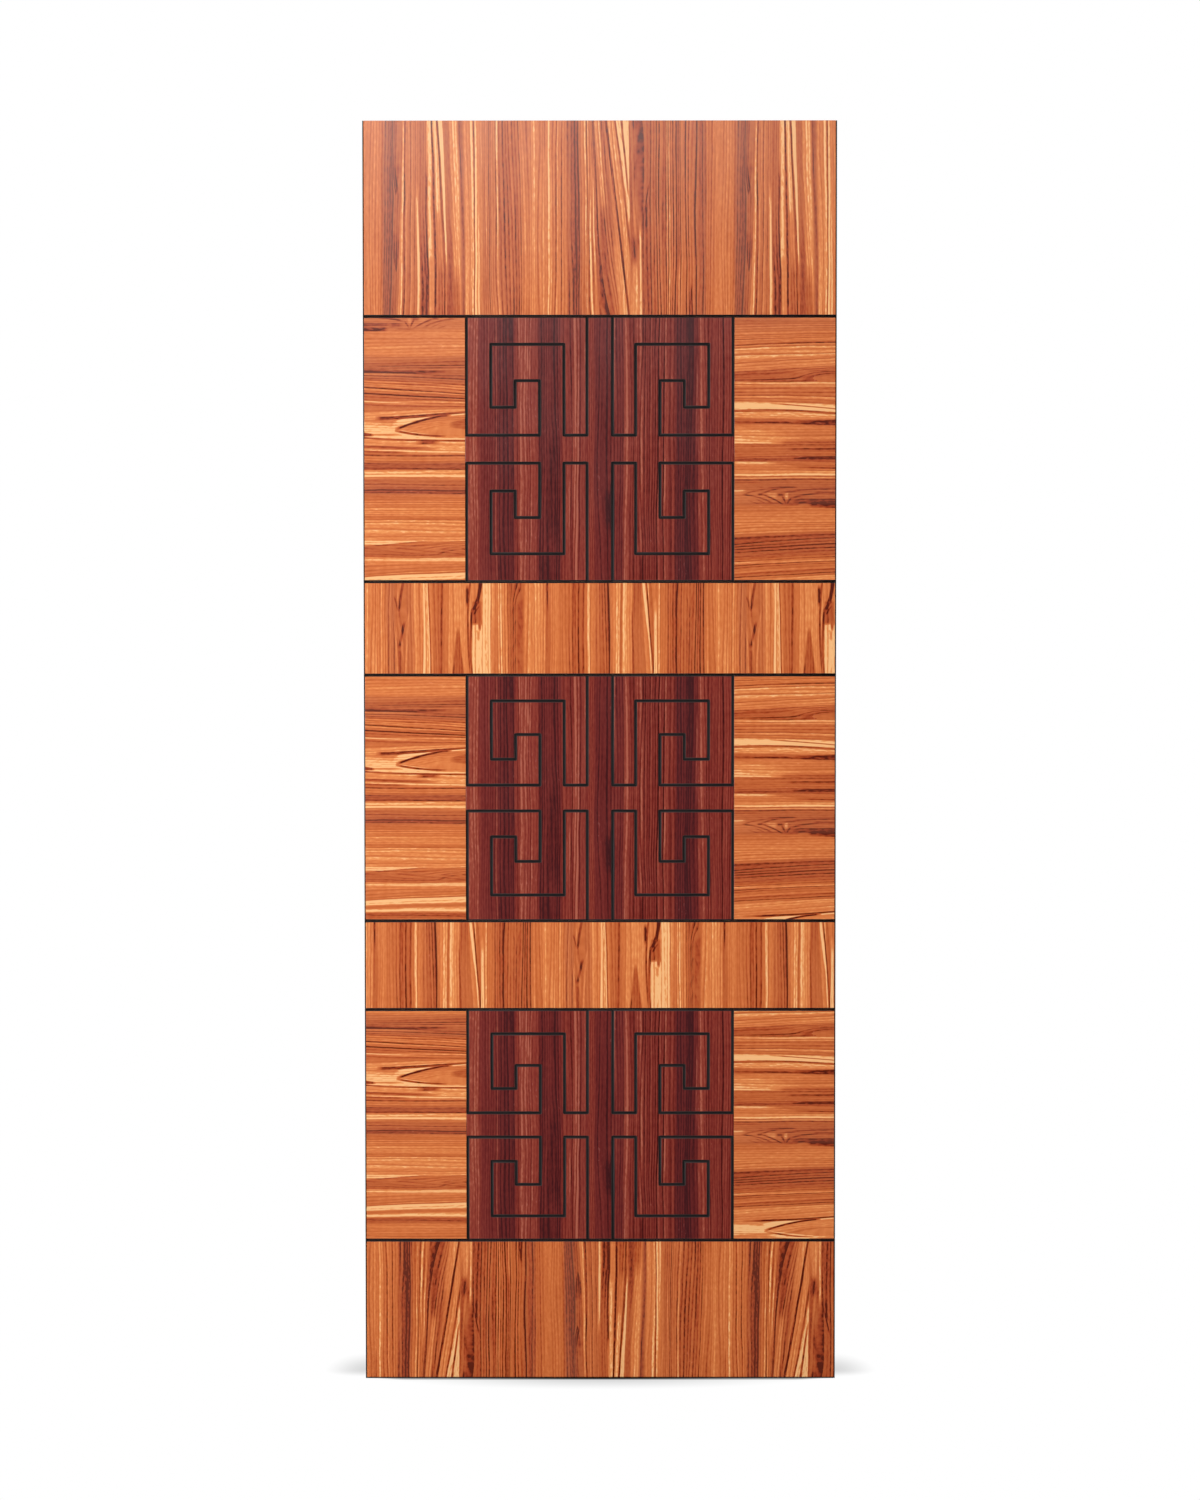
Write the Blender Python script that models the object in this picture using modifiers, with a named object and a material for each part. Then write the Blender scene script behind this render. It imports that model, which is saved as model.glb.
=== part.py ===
"""Wood-plastic composite door leaf, faced with light rails and dark fretwork panels.

Metres, +Z up. The front looks along -Y and the width runs along +X.
The origin is the middle of the hinge edge, the long narrow face at the low X side.
"""

import math

import bpy
import bmesh
from mathutils import Matrix, Vector

# ---- Driving dimensions -------------------------------------------------------------

LEAF_WIDTH = 0.762
LEAF_THICKNESS = 0.030
FACING_THICKNESS = 0.0045
EDGE_BAND_THICKNESS = 0.0016
SEAM = 0.0003                 # clearance between two pieces that touch
ARRIS = 0.0004                # small flat on every outer edge

# Rows of the front from the top down: name, kind, height between groove centres.
ROWS = (
    ("top_rail", "rail", 0.3130),
    ("upper", "panel", 0.4260),
    ("upper_lock_rail", "rail", 0.1505),
    ("middle", "panel", 0.3975),
    ("lower_lock_rail", "rail", 0.1440),
    ("lower", "panel", 0.3755),
    ("bottom_rail", "rail", 0.2255),
)
LEAF_HEIGHT = sum(height for _, _, height in ROWS)
SIDE_PANEL_WIDTH = 0.1643     # from the leaf's edge to the fretwork panel

# Routed groove: sloping walls at 45 degrees down to a narrow flat floor.
GROOVE_WIDTH = 0.0046
GROOVE_FLOOR = 0.0006
GROOVE_LIP = 0.0005           # upright part of the wall, half above and half below the face
GROOVE_SLOPE = (GROOVE_WIDTH - GROOVE_FLOOR) / 2
OVERRUN = 0.004               # how far a cutter runs past the piece that it cuts

# Fret pattern, one quarter of it. Columns are measured from the panel's middle line,
# rows from its upper groove, in units of the panel's height divided by FRET_UNITS.
BORDER_COLUMN = 0.2145
FRET_CELL = 0.0392
BAR_HALF_WIDTH = 0.0205
FRET_UNITS = 9.5
FRET_ROWS = (0.0, 1.0, 2.3, 3.25, 4.25)
FRET_COLUMNS = (BAR_HALF_WIDTH, *(BORDER_COLUMN - FRET_CELL * step for step in (4, 3, 2, 1, 0)))

# The groove's turns as (column, row), from the border groove round to the middle bar.
FRET_TURNS = (
    (5, 0), (5, 4), (2, 4), (2, 2), (3, 2), (3, 3),
    (4, 3), (4, 1), (1, 1), (1, 4), (0, 4), (0, 0),
)

# ---- Derived planes -----------------------------------------------------------------

FRONT = -LEAF_THICKNESS / 2
BACK = LEAF_THICKNESS / 2
TOP = LEAF_HEIGHT / 2
BOTTOM = -LEAF_HEIGHT / 2
MIDDLE_X = LEAF_WIDTH / 2
FACING_BACK = FRONT + FACING_THICKNESS
INNER_LEFT = EDGE_BAND_THICKNESS + SEAM
INNER_RIGHT = LEAF_WIDTH - INNER_LEFT


def clear_objects():
    """Start from an empty scene."""
    for item in list(bpy.data.objects):
        bpy.data.objects.remove(item, do_unlink=True)


def make_collection(name):
    """A new collection under the scene's own."""
    collection = bpy.data.collections.new(name)
    bpy.context.scene.collection.children.link(collection)
    return collection


def make_finish(name, colour, roughness):
    """A plain surface finish: linear colour and roughness, no metal."""
    material = bpy.data.materials.new(name)
    material.use_nodes = True
    shader = material.node_tree.nodes["Principled BSDF"]
    shader.inputs["Base Color"].default_value = (*colour, 1.0)
    shader.inputs["Roughness"].default_value = roughness
    shader.inputs["Metallic"].default_value = 0.0
    return material


def move_to(item, collection):
    """Leave an object in one collection only."""
    for owner in list(item.users_collection):
        owner.objects.unlink(item)
    collection.objects.link(item)


def add_board(name, low, high, finish, collection, parent):
    """A flat board between two corners, with a small arris on every edge."""
    low, high = Vector(low), Vector(high)
    bpy.ops.mesh.primitive_cube_add(size=1.0, location=(low + high) / 2)
    board = bpy.context.active_object
    board.name = name
    board.data.name = name
    board.data.transform(Matrix.Diagonal((*(high - low), 1.0)))
    board.data.materials.append(finish)
    board.parent = parent
    move_to(board, collection)
    arris = board.modifiers.new("arris", "BEVEL")
    arris.width = ARRIS
    arris.segments = 1
    arris.limit_method = "ANGLE"
    return board


def stroke_outline(path, width):
    """The mitred outline of a stroke along a path of right-angled turns."""
    steps = [(b - a).normalized() for a, b in zip(path, path[1:])]
    normals = [Vector((-step.y, step.x)) for step in steps]
    corners = [normals[0]]
    for before, after in zip(normals, normals[1:]):
        corners.append(before + after if before.dot(after) < 0.5 else before)
    corners.append(normals[-1])
    one_side = [point + corner * width / 2 for point, corner in zip(path, corners)]
    other_side = [point - corner * width / 2 for point, corner in zip(path, corners)]
    return one_side + other_side[::-1]


def add_groove_cutter(name, paths, finish, collection):
    """A cutter for grooves in the front face, along paths of (x, z) points."""
    curve = bpy.data.curves.new(name, "CURVE")
    curve.dimensions = "2D"
    curve.fill_mode = "BOTH"
    curve.extrude = GROOVE_LIP / 2
    curve.bevel_depth = GROOVE_SLOPE
    curve.bevel_resolution = 0
    for path in paths:
        outline = stroke_outline([Vector(point) for point in path], GROOVE_FLOOR)
        spline = curve.splines.new("POLY")
        spline.points.add(len(outline) - 1)
        for point, place in zip(spline.points, outline):
            point.co = (*place, 0.0, 1.0)
        spline.use_cyclic_u = True
    flat = bpy.data.objects.new(name + "_curve", curve)
    collection.objects.link(flat)
    upright = Matrix.Rotation(math.radians(90), 4, "X")
    flat.matrix_world = Matrix.Translation((0.0, FRONT, 0.0)) @ upright
    return curve_to_cutter(flat, name, finish, collection)


def curve_to_cutter(flat, name, finish, collection):
    """Turn a filled curve into a closed mesh cutter in the same place."""
    bpy.context.view_layer.update()
    evaluated = flat.evaluated_get(bpy.context.evaluated_depsgraph_get())
    mesh = bpy.data.meshes.new_from_object(evaluated)
    mesh.name = name
    welded = bmesh.new()
    welded.from_mesh(mesh)
    bmesh.ops.remove_doubles(welded, verts=welded.verts, dist=0.00001)
    bmesh.ops.recalc_face_normals(welded, faces=welded.faces)
    welded.to_mesh(mesh)
    welded.free()
    mesh.materials.clear()
    mesh.materials.append(finish)
    cutter = bpy.data.objects.new(name, mesh)
    cutter.matrix_world = flat.matrix_world
    collection.objects.link(cutter)
    bpy.data.objects.remove(flat, do_unlink=True)
    cutter.hide_render = True
    cutter.display_type = "WIRE"
    return cutter


def cut_with(board, cutter):
    """Rout a board with a cutter, whose paint shows in the groove."""
    rout = board.modifiers.new(cutter.name, "BOOLEAN")
    rout.operation = "DIFFERENCE"
    rout.solver = "EXACT"
    rout.material_mode = "TRANSFER"
    rout.object = cutter


def row_edges():
    """Each row's name and kind with its upper and lower groove centre."""
    edges = []
    upper = TOP
    for name, kind, height in ROWS:
        edges.append((name, kind, upper, upper - height))
        upper -= height
    return edges


def fret_paths(upper, lower):
    """The four mirrored fret grooves of a panel between two groove centres."""
    unit = (upper - lower) / FRET_UNITS
    centre = (upper + lower) / 2
    quarter = []
    for column, row in FRET_TURNS:
        run_out = OVERRUN if row == 0 else 0.0
        quarter.append((FRET_COLUMNS[column], upper + run_out - FRET_ROWS[row] * unit - centre))
    return [
        [(MIDDLE_X + side * across, centre + end * up) for across, up in quarter]
        for side in (-1, 1)
        for end in (-1, 1)
    ]


def clear_of_joints(upper, lower):
    """A facing's top and bottom: clear of its neighbours, flush with the leaf's ends."""
    top = upper if upper > TOP - SEAM else upper - SEAM / 2
    bottom = lower if lower < BOTTOM + SEAM else lower + SEAM / 2
    return top, bottom


def build_rail(name, upper, lower, finishes, collections, parent):
    """A full-width rail facing."""
    top, bottom = clear_of_joints(upper, lower)
    low, high = (INNER_LEFT, FRONT, bottom), (INNER_RIGHT, FACING_BACK, top)
    return [add_board(name, low, high, finishes["light"], collections["parts"], parent)]


def build_panel_row(name, upper, lower, finishes, collections, parent):
    """Two light side panels with a dark fretwork panel between them."""
    top, bottom = clear_of_joints(upper, lower)
    spans = (
        ("left_panel", INNER_LEFT, SIDE_PANEL_WIDTH - SEAM / 2, "light"),
        ("fretwork_panel", SIDE_PANEL_WIDTH + SEAM / 2, LEAF_WIDTH - SIDE_PANEL_WIDTH - SEAM / 2, "dark"),
        ("right_panel", LEAF_WIDTH - SIDE_PANEL_WIDTH + SEAM / 2, INNER_RIGHT, "light"),
    )
    boards = []
    for place, start, end, tone in spans:
        low, high = (start, FRONT, bottom), (end, FACING_BACK, top)
        board = add_board(f"{name}_{place}", low, high, finishes[tone], collections["parts"], parent)
        boards.append(board)
    paths = fret_paths(upper, lower)
    cutter = add_groove_cutter(f"{name}_fret_grooves", paths, finishes["paint"], collections["cutters"])
    cut_with(boards[1], cutter)
    return boards


def build_door():
    """The whole leaf: board, edge bands and front facings."""
    clear_objects()
    collections = {"parts": make_collection("wpc_door"), "cutters": make_collection("groove_cutters")}
    finishes = {
        "light": make_finish("light_teak_film", (0.55, 0.21, 0.08), 0.38),
        "dark": make_finish("dark_rosewood_film", (0.14, 0.035, 0.025), 0.38),
        "board": make_finish("composite_board", (0.42, 0.27, 0.15), 0.65),
        "band": make_finish("dark_edge_band", (0.045, 0.022, 0.014), 0.45),
        "paint": make_finish("black_groove_paint", (0.012, 0.010, 0.009), 0.50),
    }
    leaf = bpy.data.objects.new("door_leaf", None)
    collections["parts"].objects.link(leaf)

    low, high = (INNER_LEFT, FACING_BACK + SEAM, BOTTOM), (INNER_RIGHT, BACK, TOP)
    add_board("leaf_board", low, high, finishes["board"], collections["parts"], leaf)
    for name, start in (("hinge_edge_band", 0.0), ("lock_edge_band", LEAF_WIDTH - EDGE_BAND_THICKNESS)):
        low, high = (start, FRONT, BOTTOM), (start + EDGE_BAND_THICKNESS, BACK, TOP)
        add_board(name, low, high, finishes["band"], collections["parts"], leaf)

    rows = row_edges()
    joints = [lower for _, _, _, lower in rows[:-1]]
    joint_paths = [[(-OVERRUN, height), (LEAF_WIDTH + OVERRUN, height)] for height in joints]
    joint_cutter = add_groove_cutter("joint_grooves", joint_paths, finishes["paint"], collections["cutters"])
    builders = {"rail": build_rail, "panel": build_panel_row}
    for name, kind, upper, lower in rows:
        for board in builders[kind](name, upper, lower, finishes, collections, leaf):
            cut_with(board, joint_cutter)


build_door()
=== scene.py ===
"""Looks of the composite door: routed facings in printed wood film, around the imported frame.

Metres, +Z up; the front looks along -Y. Film figures are laid out in millimetres.
"""

import math

import bmesh
import bpy
from mathutils import Euler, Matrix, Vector


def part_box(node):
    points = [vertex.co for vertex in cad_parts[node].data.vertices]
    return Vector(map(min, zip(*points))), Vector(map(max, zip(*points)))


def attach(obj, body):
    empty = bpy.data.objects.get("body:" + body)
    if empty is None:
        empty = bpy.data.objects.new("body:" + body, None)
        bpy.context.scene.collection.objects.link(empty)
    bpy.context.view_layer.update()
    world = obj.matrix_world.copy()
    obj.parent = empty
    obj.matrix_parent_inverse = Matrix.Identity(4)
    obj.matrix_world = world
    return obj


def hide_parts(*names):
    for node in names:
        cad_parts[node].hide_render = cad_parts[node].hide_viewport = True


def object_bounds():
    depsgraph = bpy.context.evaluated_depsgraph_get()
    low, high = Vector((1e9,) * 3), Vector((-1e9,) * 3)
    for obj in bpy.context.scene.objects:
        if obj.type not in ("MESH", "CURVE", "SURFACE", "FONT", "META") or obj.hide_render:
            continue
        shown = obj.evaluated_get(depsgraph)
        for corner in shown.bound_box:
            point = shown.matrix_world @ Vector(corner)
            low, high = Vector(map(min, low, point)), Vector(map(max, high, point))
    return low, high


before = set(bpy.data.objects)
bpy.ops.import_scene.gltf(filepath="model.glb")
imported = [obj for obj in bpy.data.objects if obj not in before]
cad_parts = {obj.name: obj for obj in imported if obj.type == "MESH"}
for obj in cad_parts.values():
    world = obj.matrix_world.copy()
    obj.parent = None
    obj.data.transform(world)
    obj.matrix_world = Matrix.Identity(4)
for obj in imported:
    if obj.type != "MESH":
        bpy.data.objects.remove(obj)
CAD_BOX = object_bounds()
MM = 0.001

# ---- Pieces of the front, as the frame has them ------------------------------------------

PANEL_ROWS = ("upper", "middle", "lower")
BANDS_AT_EDGES = ("hinge_edge_band", "lock_edge_band")
LEFT_COLUMN = (
    "top_rail", "upper_left_panel", "upper_lock_rail", "middle_left_panel",
    "lower_lock_rail", "lower_left_panel", "bottom_rail",
)

# ---- Routed grooves ----------------------------------------------------------------------

GROOVE_WIDTH = 4.6 * MM
GROOVE_FLOOR = 0.6 * MM
GROOVE_DEPTH = 2.25 * MM
LIP_EASING = 0.25 * MM        # how far the sanded lip spreads beyond the groove
LIP_SLANT = 1.5               # how much narrower the easing cutter is below, in lip easings
LIP_DEPTH = 0.2 * MM
CUTTER_TOP = 1.0 * MM         # how far the cutter stands out of the face
OVERRUN = 4.0 * MM
BIT_SIDES = 16
ARRIS = 0.4 * MM
ARRIS_STEPS = 3

# Fret pattern, one quarter of it: columns from the panel's middle line, rows in units of
# the panel's height between its two joint grooves divided by FRET_UNITS.
BORDER_COLUMN = 214.5 * MM
FRET_CELL = 39.2 * MM
BAR_HALF_WIDTH = 20.5 * MM
FRET_UNITS = 9.5
FRET_ROWS = (0.0, 1.0, 2.3, 3.25, 4.25)
FRET_COLUMNS = (BAR_HALF_WIDTH, *(BORDER_COLUMN - FRET_CELL * step for step in (4, 3, 2, 1, 0)))
FRET_TURNS = (
    (5, 0), (5, 4), (2, 4), (2, 2), (3, 2), (3, 3),
    (4, 3), (4, 1), (1, 1), (1, 4), (0, 4), (0, 0),
)

# ---- Where each facing's film is cut -------------------------------------------------------

RAIL_CUT = 313 * MM           # height of the cut that covers the top or the bottom rail
LOCK_RAIL_CUT = 150.5 * MM
PANEL_CUT = 426 * MM          # the same for the panels of every row
UPPER_LOCK_SHIFT = 271 * MM   # where across the film the cut of a rail starts
LOWER_LOCK_SHIFT = 551 * MM
BOTTOM_SHIFT = 276 * MM
LEFT_START = 192.5 * MM       # the same for the upper side panels
RIGHT_START = 475.3 * MM
ROW_SHIFTS = {"upper": 0 * MM, "middle": 27.5 * MM, "lower": 55 * MM}

# ---- Film tones: 0 is the darkest latewood, 1 the palest streak ----------------------------

UMBER, MAHOGANY, RUSSET, AMBER, HONEY, STRAW, CREAM = 0.05, 0.2, 0.35, 0.5, 0.65, 0.8, 0.95

# Linear colours along the tone scale.
LIGHT_FILM = (
    (0.00, (0.070, 0.0080, 0.0030)),
    (UMBER, (0.178, 0.0205, 0.0055)),
    (MAHOGANY, (0.300, 0.0500, 0.0130)),
    (RUSSET, (0.350, 0.0775, 0.0205)),
    (AMBER, (0.402, 0.0990, 0.0265)),
    (HONEY, (0.454, 0.1210, 0.0335)),
    (STRAW, (0.513, 0.1550, 0.0455)),
    (CREAM, (0.595, 0.2350, 0.0770)),
    (1.00, (0.650, 0.3500, 0.1500)),
)
DARK_FILM = (
    (0.00, (0.018, 0.0020, 0.0020)),
    (UMBER, (0.035, 0.0036, 0.0033)),
    (MAHOGANY, (0.075, 0.0072, 0.0054)),
    (AMBER, (0.131, 0.0155, 0.0107)),
    (STRAW, (0.185, 0.0305, 0.0190)),
    (CREAM, (0.235, 0.0500, 0.0290)),
    (1.00, (0.280, 0.0750, 0.0450)),
)
MAUVE = (0.235, 0.085, 0.050)
PLUM = (0.080, 0.0150, 0.0185)
# Near black of the painted shade along the foot of the bottom rail.
FOOT_SHADE_COLOUR = (0.010, 0.006, 0.004)
# Colour of the groove paint near the face, lighter than deeper in the groove.
PAINT_NEAR_FACE = (0.036, 0.023, 0.021)

# ---- Figures of the print, in millimetres, with places as (across, along) the film ---------

FADE_SHARE = 0.3              # most that a fade takes of a figure line's length
CLEAN_END = 0.5               # length of the fade where a figure line runs off the film
KNOT_FADE = 8.0               # longest fade of a knot's lines


def streak(tone, start, end, width, end_width=None, bulge=0.0, soft=0.8, fade=36.0):
    """One figure line, from a start point to an end point further along the film."""
    return {
        "tone": tone, "start": start, "end": end, "width": width,
        "end_width": width if end_width is None else end_width, "bulge": bulge, "soft": soft,
        "fade": fade,
    }


def arrows(tip, points_down, half_width, steepness, pitch, reach, light, dark):
    """Nested arrowheads of grain, one above the other, behind a tip."""
    return {
        "tip": tip, "points_down": points_down, "half_width": half_width, "steepness": steepness,
        "pitch": pitch, "reach": reach, "light": light, "dark": dark,
    }


def flame(tip, points_down, half_width, taper, push):
    """A flame of grain behind a tip, which pushes the fine lines aside."""
    return {
        "tip": tip, "points_down": points_down, "half_width": half_width, "taper": taper,
        "push": push,
    }


# A line of a knot is (tone, first end, last end, first width, last width, bulge, softness), with
# its ends measured from the knot's own tip.
KNOT_LINES = (
    (0.56, (-7, 2), (-7, 95), 12, 24, 0.0, 5.0),
    (0.76, (-19, 62), (-17.5, 95), 1.5, 4, 0.0, 1.5),
    (0.72, (-11, -5), (-9, 2.5), 9, 9, 0.0, 2.0),
    (0.66, (-10, 12), (-13, 32), 9, 4, 0.0, 2.0),
    (0.22, (-24.5, -20), (-12.2, 71.5), 0.6, 1.8, -4.6, 0.8),
    (0.22, (2.3, 18.5), (-12.5, 72.5), 1.2, 1.6, -3.3, 0.8),
    (0.16, (-24.0, -20), (-14.2, 40.5), 0.6, 2.0, -3.4, 0.8),
    (0.16, (4.0, 2.5), (-13.5, 40.5), 1.4, 2.0, -1.5, 0.8),
    (0.12, (-14.0, 35), (-13.0, 47), 3, 2.5, 0.0, 1.5),
    (0.14, (-22.0, -85), (-16.5, 5), 1.2, 2.0, -1.5, 0.8),
    (0.20, (-13.5, 2), (-12.5, 15), 6, 4, 0.0, 2.0),
    (0.18, (1.5, -1), (-15, 8.5), 4, 6, 0.0, 1.5),
    (0.14, (-14.8, -85), (-8.0, -8.5), 1.2, 2.0, -3.0, 0.8),
    (0.20, (-9.0, -10), (1.5, -1), 3, 3.5, 0.0, 1.5),
    (0.22, (-2.5, -36), (-2.5, -11), 7, 4, 0.0, 2.0),
    (0.16, (-3.5, -85), (-3.5, -31), 5, 3, 0.0, 2.5),
    (0.10, (4.5, -85), (3.5, -34), 7, 4, 0.0, 3.0),
    (0.30, (3.5, -26), (4.0, 8), 1.5, 1.5, 0.0, 1.0),
    (0.34, (2.5, 31), (-6.0, 50), 0.6, 0.4, 0.0, 0.8),
    (0.34, (3.0, 22), (-7.0, 38), 0.6, 0.4, 0.0, 0.8),
    (0.34, (3.5, 42), (-3.0, 62), 0.6, 0.4, 0.0, 0.8),
)


def knot(tip, side):
    """The figure lines of a knot; side is 1 where its hooks lie further along the film, else -1."""
    lines = []
    for tone, first, last, first_width, last_width, bulge, soft in KNOT_LINES:
        ends = [
            ((tip[0] + across, tip[1] + side * along), width)
            for (across, along), width in ((first, first_width), (last, last_width))
        ]
        (start, width), (end, end_width) = ends[::side]
        lines.append(streak(tone, start, end, width, end_width, bulge, soft, KNOT_FADE))
    return tuple(lines)


# ---- Prints of the film --------------------------------------------------------------------
# A band is (where it starts, tone, strength of its fine lines, how mauve it is).

RAIL_PRINT = {
    "repeat": 567,
    "start": 0,
    "contrast": 1.27,
    "length": 313,
    "bands": (
        (0, 0.62, 0.3, 0.0), (12, 0.50, 0.6, 0.0), (32, 0.26, 0.35, 0.8), (50, 0.33, 0.3, 0.35),
        (60, 0.32, 0.4, 0.1), (68, 0.46, 0.8, 0.2), (86, 0.52, 0.5, 0.1), (92, 0.42, 0.4, 0.1),
        (104, 0.66, 0.2, 0.0), (131, 0.42, 0.1, 0.15), (143, 0.76, 0.15, 0.0), (157, 0.24, 0.3, 0.5),
        (164, 0.74, 0.3, 0.0), (172, 0.66, 0.3, 0.0), (189, 0.46, 0.9, 0.15), (222, 0.42, 0.5, 0.1),
        (250, 0.46, 0.8, 0.0), (268, 0.66, 0.35, 0.0), (305, 0.58, 0.6, 0.0), (329, 0.27, 0.4, 0.3),
        (351, 0.44, 0.7, 0.0), (372, 0.46, 0.5, 0.1), (404, 0.68, 0.3, 0.0), (428, 0.42, 0.2, 0.1),
        (447, 0.37, 0.3, 0.1), (465, 0.38, 0.8, 0.1), (485, 0.38, 1.2, 0.0), (502, 0.42, 0.6, 0.0),
        (532, 0.26, 0.9, 0.2), (541, 0.34, 0.4, 0.4), (552, 0.56, 0.4, 0.0), (567, 0.62, 0.3, 0.0),
    ),
    "streaks": (
        streak(0.84, (65, -5), (58, 320), 1.6, 5.0, bulge=1.8),
        streak(0.72, (74, -30), (75, 110), 1.6, 0.4),
        streak(0.93, (88, 95), (90.5, 320), 1.4, 4.6),
        streak(0.30, (97, 150), (98, 340), 4, 13, soft=4, fade=60),
        streak(0.12, (103, 60), (104, 320), 1.4, 3.2),
        streak(0.88, (108, -5), (108, 240), 6, 3, soft=1.5),
        streak(0.96, (115.5, -5), (123, 170), 6, 3, soft=1.2),
        streak(0.42, (125, 210), (126, 330), 4, 14, soft=3),
        streak(0.97, (124.5, -5), (134, 250), 6.5, 1.6, bulge=1.0),
        streak(0.16, (111, -5), (117, 320), 1.8, 2.6, bulge=1.5),
        streak(0.18, (119.5, -5), (133, 320), 2.0, 2.2, bulge=2.5),
        streak(0.42, (150, 230), (151, 340), 6, 16, soft=4),
        streak(0.24, (139, 150), (143, 325), 1.0, 13, soft=4, fade=60),
        streak(0.92, (175, -5), (178.5, 320), 3, 3.6),
        streak(0.45, (179, -5), (181.5, 320), 1.0, 1.2),
        streak(0.90, (182, -5), (185.5, 320), 2.4, 6.5),
        streak(0.66, (199, -5), (200, 220), 1.4, 0.6),
        streak(0.64, (215, -5), (219, 240), 2.0, 1.0),
        streak(0.22, (218, -5), (227, 320), 1.4, 1.6, bulge=-1.0),
        streak(0.26, (246, 90), (247, 330), 2, 8, soft=3),
        streak(0.40, (293, -10), (293, 70), 2.2, 0.6),
        streak(0.80, (299, -5), (301, 320), 3.2, 4.5, soft=1.5),
        streak(0.12, (342, -20), (345, 330), 6, 12, soft=3),
        streak(0.08, (343, 150), (349, 320), 2.4, 1.6, fade=24),
        streak(0.82, (357, -5), (361, 320), 2.4, 1.8),
        streak(0.80, (362, -5), (371, 320), 2.2, 2.0, bulge=-1.5),
        streak(0.80, (367, 60), (377, 325), 1.4, 2.0),
        streak(0.20, (384, 120), (397, 330), 4, 22, bulge=-2, soft=4),
        streak(0.70, (375, -5), (388, 150), 8, 4, soft=2),
        streak(0.14, (370, -5), (386, 320), 2.6, 2.0, bulge=-1.0),
        streak(0.26, (383, -5), (406, 240), 1.6, 1.4),
        streak(0.76, (396, -5), (420, 190), 7, 4, soft=1.5),
        streak(0.98, (409, -5), (424, 118), 8, 2, soft=1.2, fade=12),
        streak(0.98, (422.5, -5), (428, 175), 8.5, 1.5, fade=20),
        streak(0.70, (404, 170), (421, 325), 5, 13, soft=2),
        streak(0.82, (418, 215), (423, 325), 2, 5, soft=1.5),
        streak(0.22, (404, -5), (431, 225), 1.8, 1.8, bulge=1.5),
        streak(0.26, (415, -5), (428, 130), 1.8, 1.4),
        streak(0.10, (389, -5), (428.5, 320), 2.8, 2.2, bulge=1.0),
        streak(0.36, (448, -5), (441, 122), 18, 12, soft=3),
        streak(0.20, (437, -20), (437, 24), 13, 2, soft=4, fade=14),
        streak(0.26, (447, 4), (433, 124), 4, 7, soft=5, fade=44),
        streak(0.34, (438, 90), (437.5, 234), 17, 8, soft=3, fade=24),
        streak(0.54, (439, 110), (437, 200), 6, 4, soft=4, fade=30),
        streak(0.22, (438, 180), (437.5, 234), 12, 6, soft=5, fade=24),
        streak(0.80, (437.5, 218), (438, 330), 4, 16, soft=3, fade=18),
        streak(0.84, (446, 160), (447, 330), 1.8, 2.4, fade=20),
        streak(0.14, (464, 85), (449, 176), 0.6, 1.8, fade=30),
        streak(0.14, (458, 125), (454, 186), 0.4, 3.4, soft=2, fade=18),
        streak(0.30, (455, 180), (459, 330), 5, 12, soft=3),
        streak(0.74, (508, 210), (509, 330), 1.0, 2.6),
        streak(0.10, (528, 250), (529, 330), 1.0, 6, soft=1.5),
    ),
    "arrows": (
        arrows((53.5, 120), True, 6, 40, 125, 60, 0.36, 0.10),
        arrows((53.5, 243), True, 6, 40, 125, 60, 0.36, 0.06),
    ),
    "flames": (
        flame((53.5, 130), True, 9, 60, 5),
        flame((437, 235), True, 17, 120, 9),
    ),
}

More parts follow.
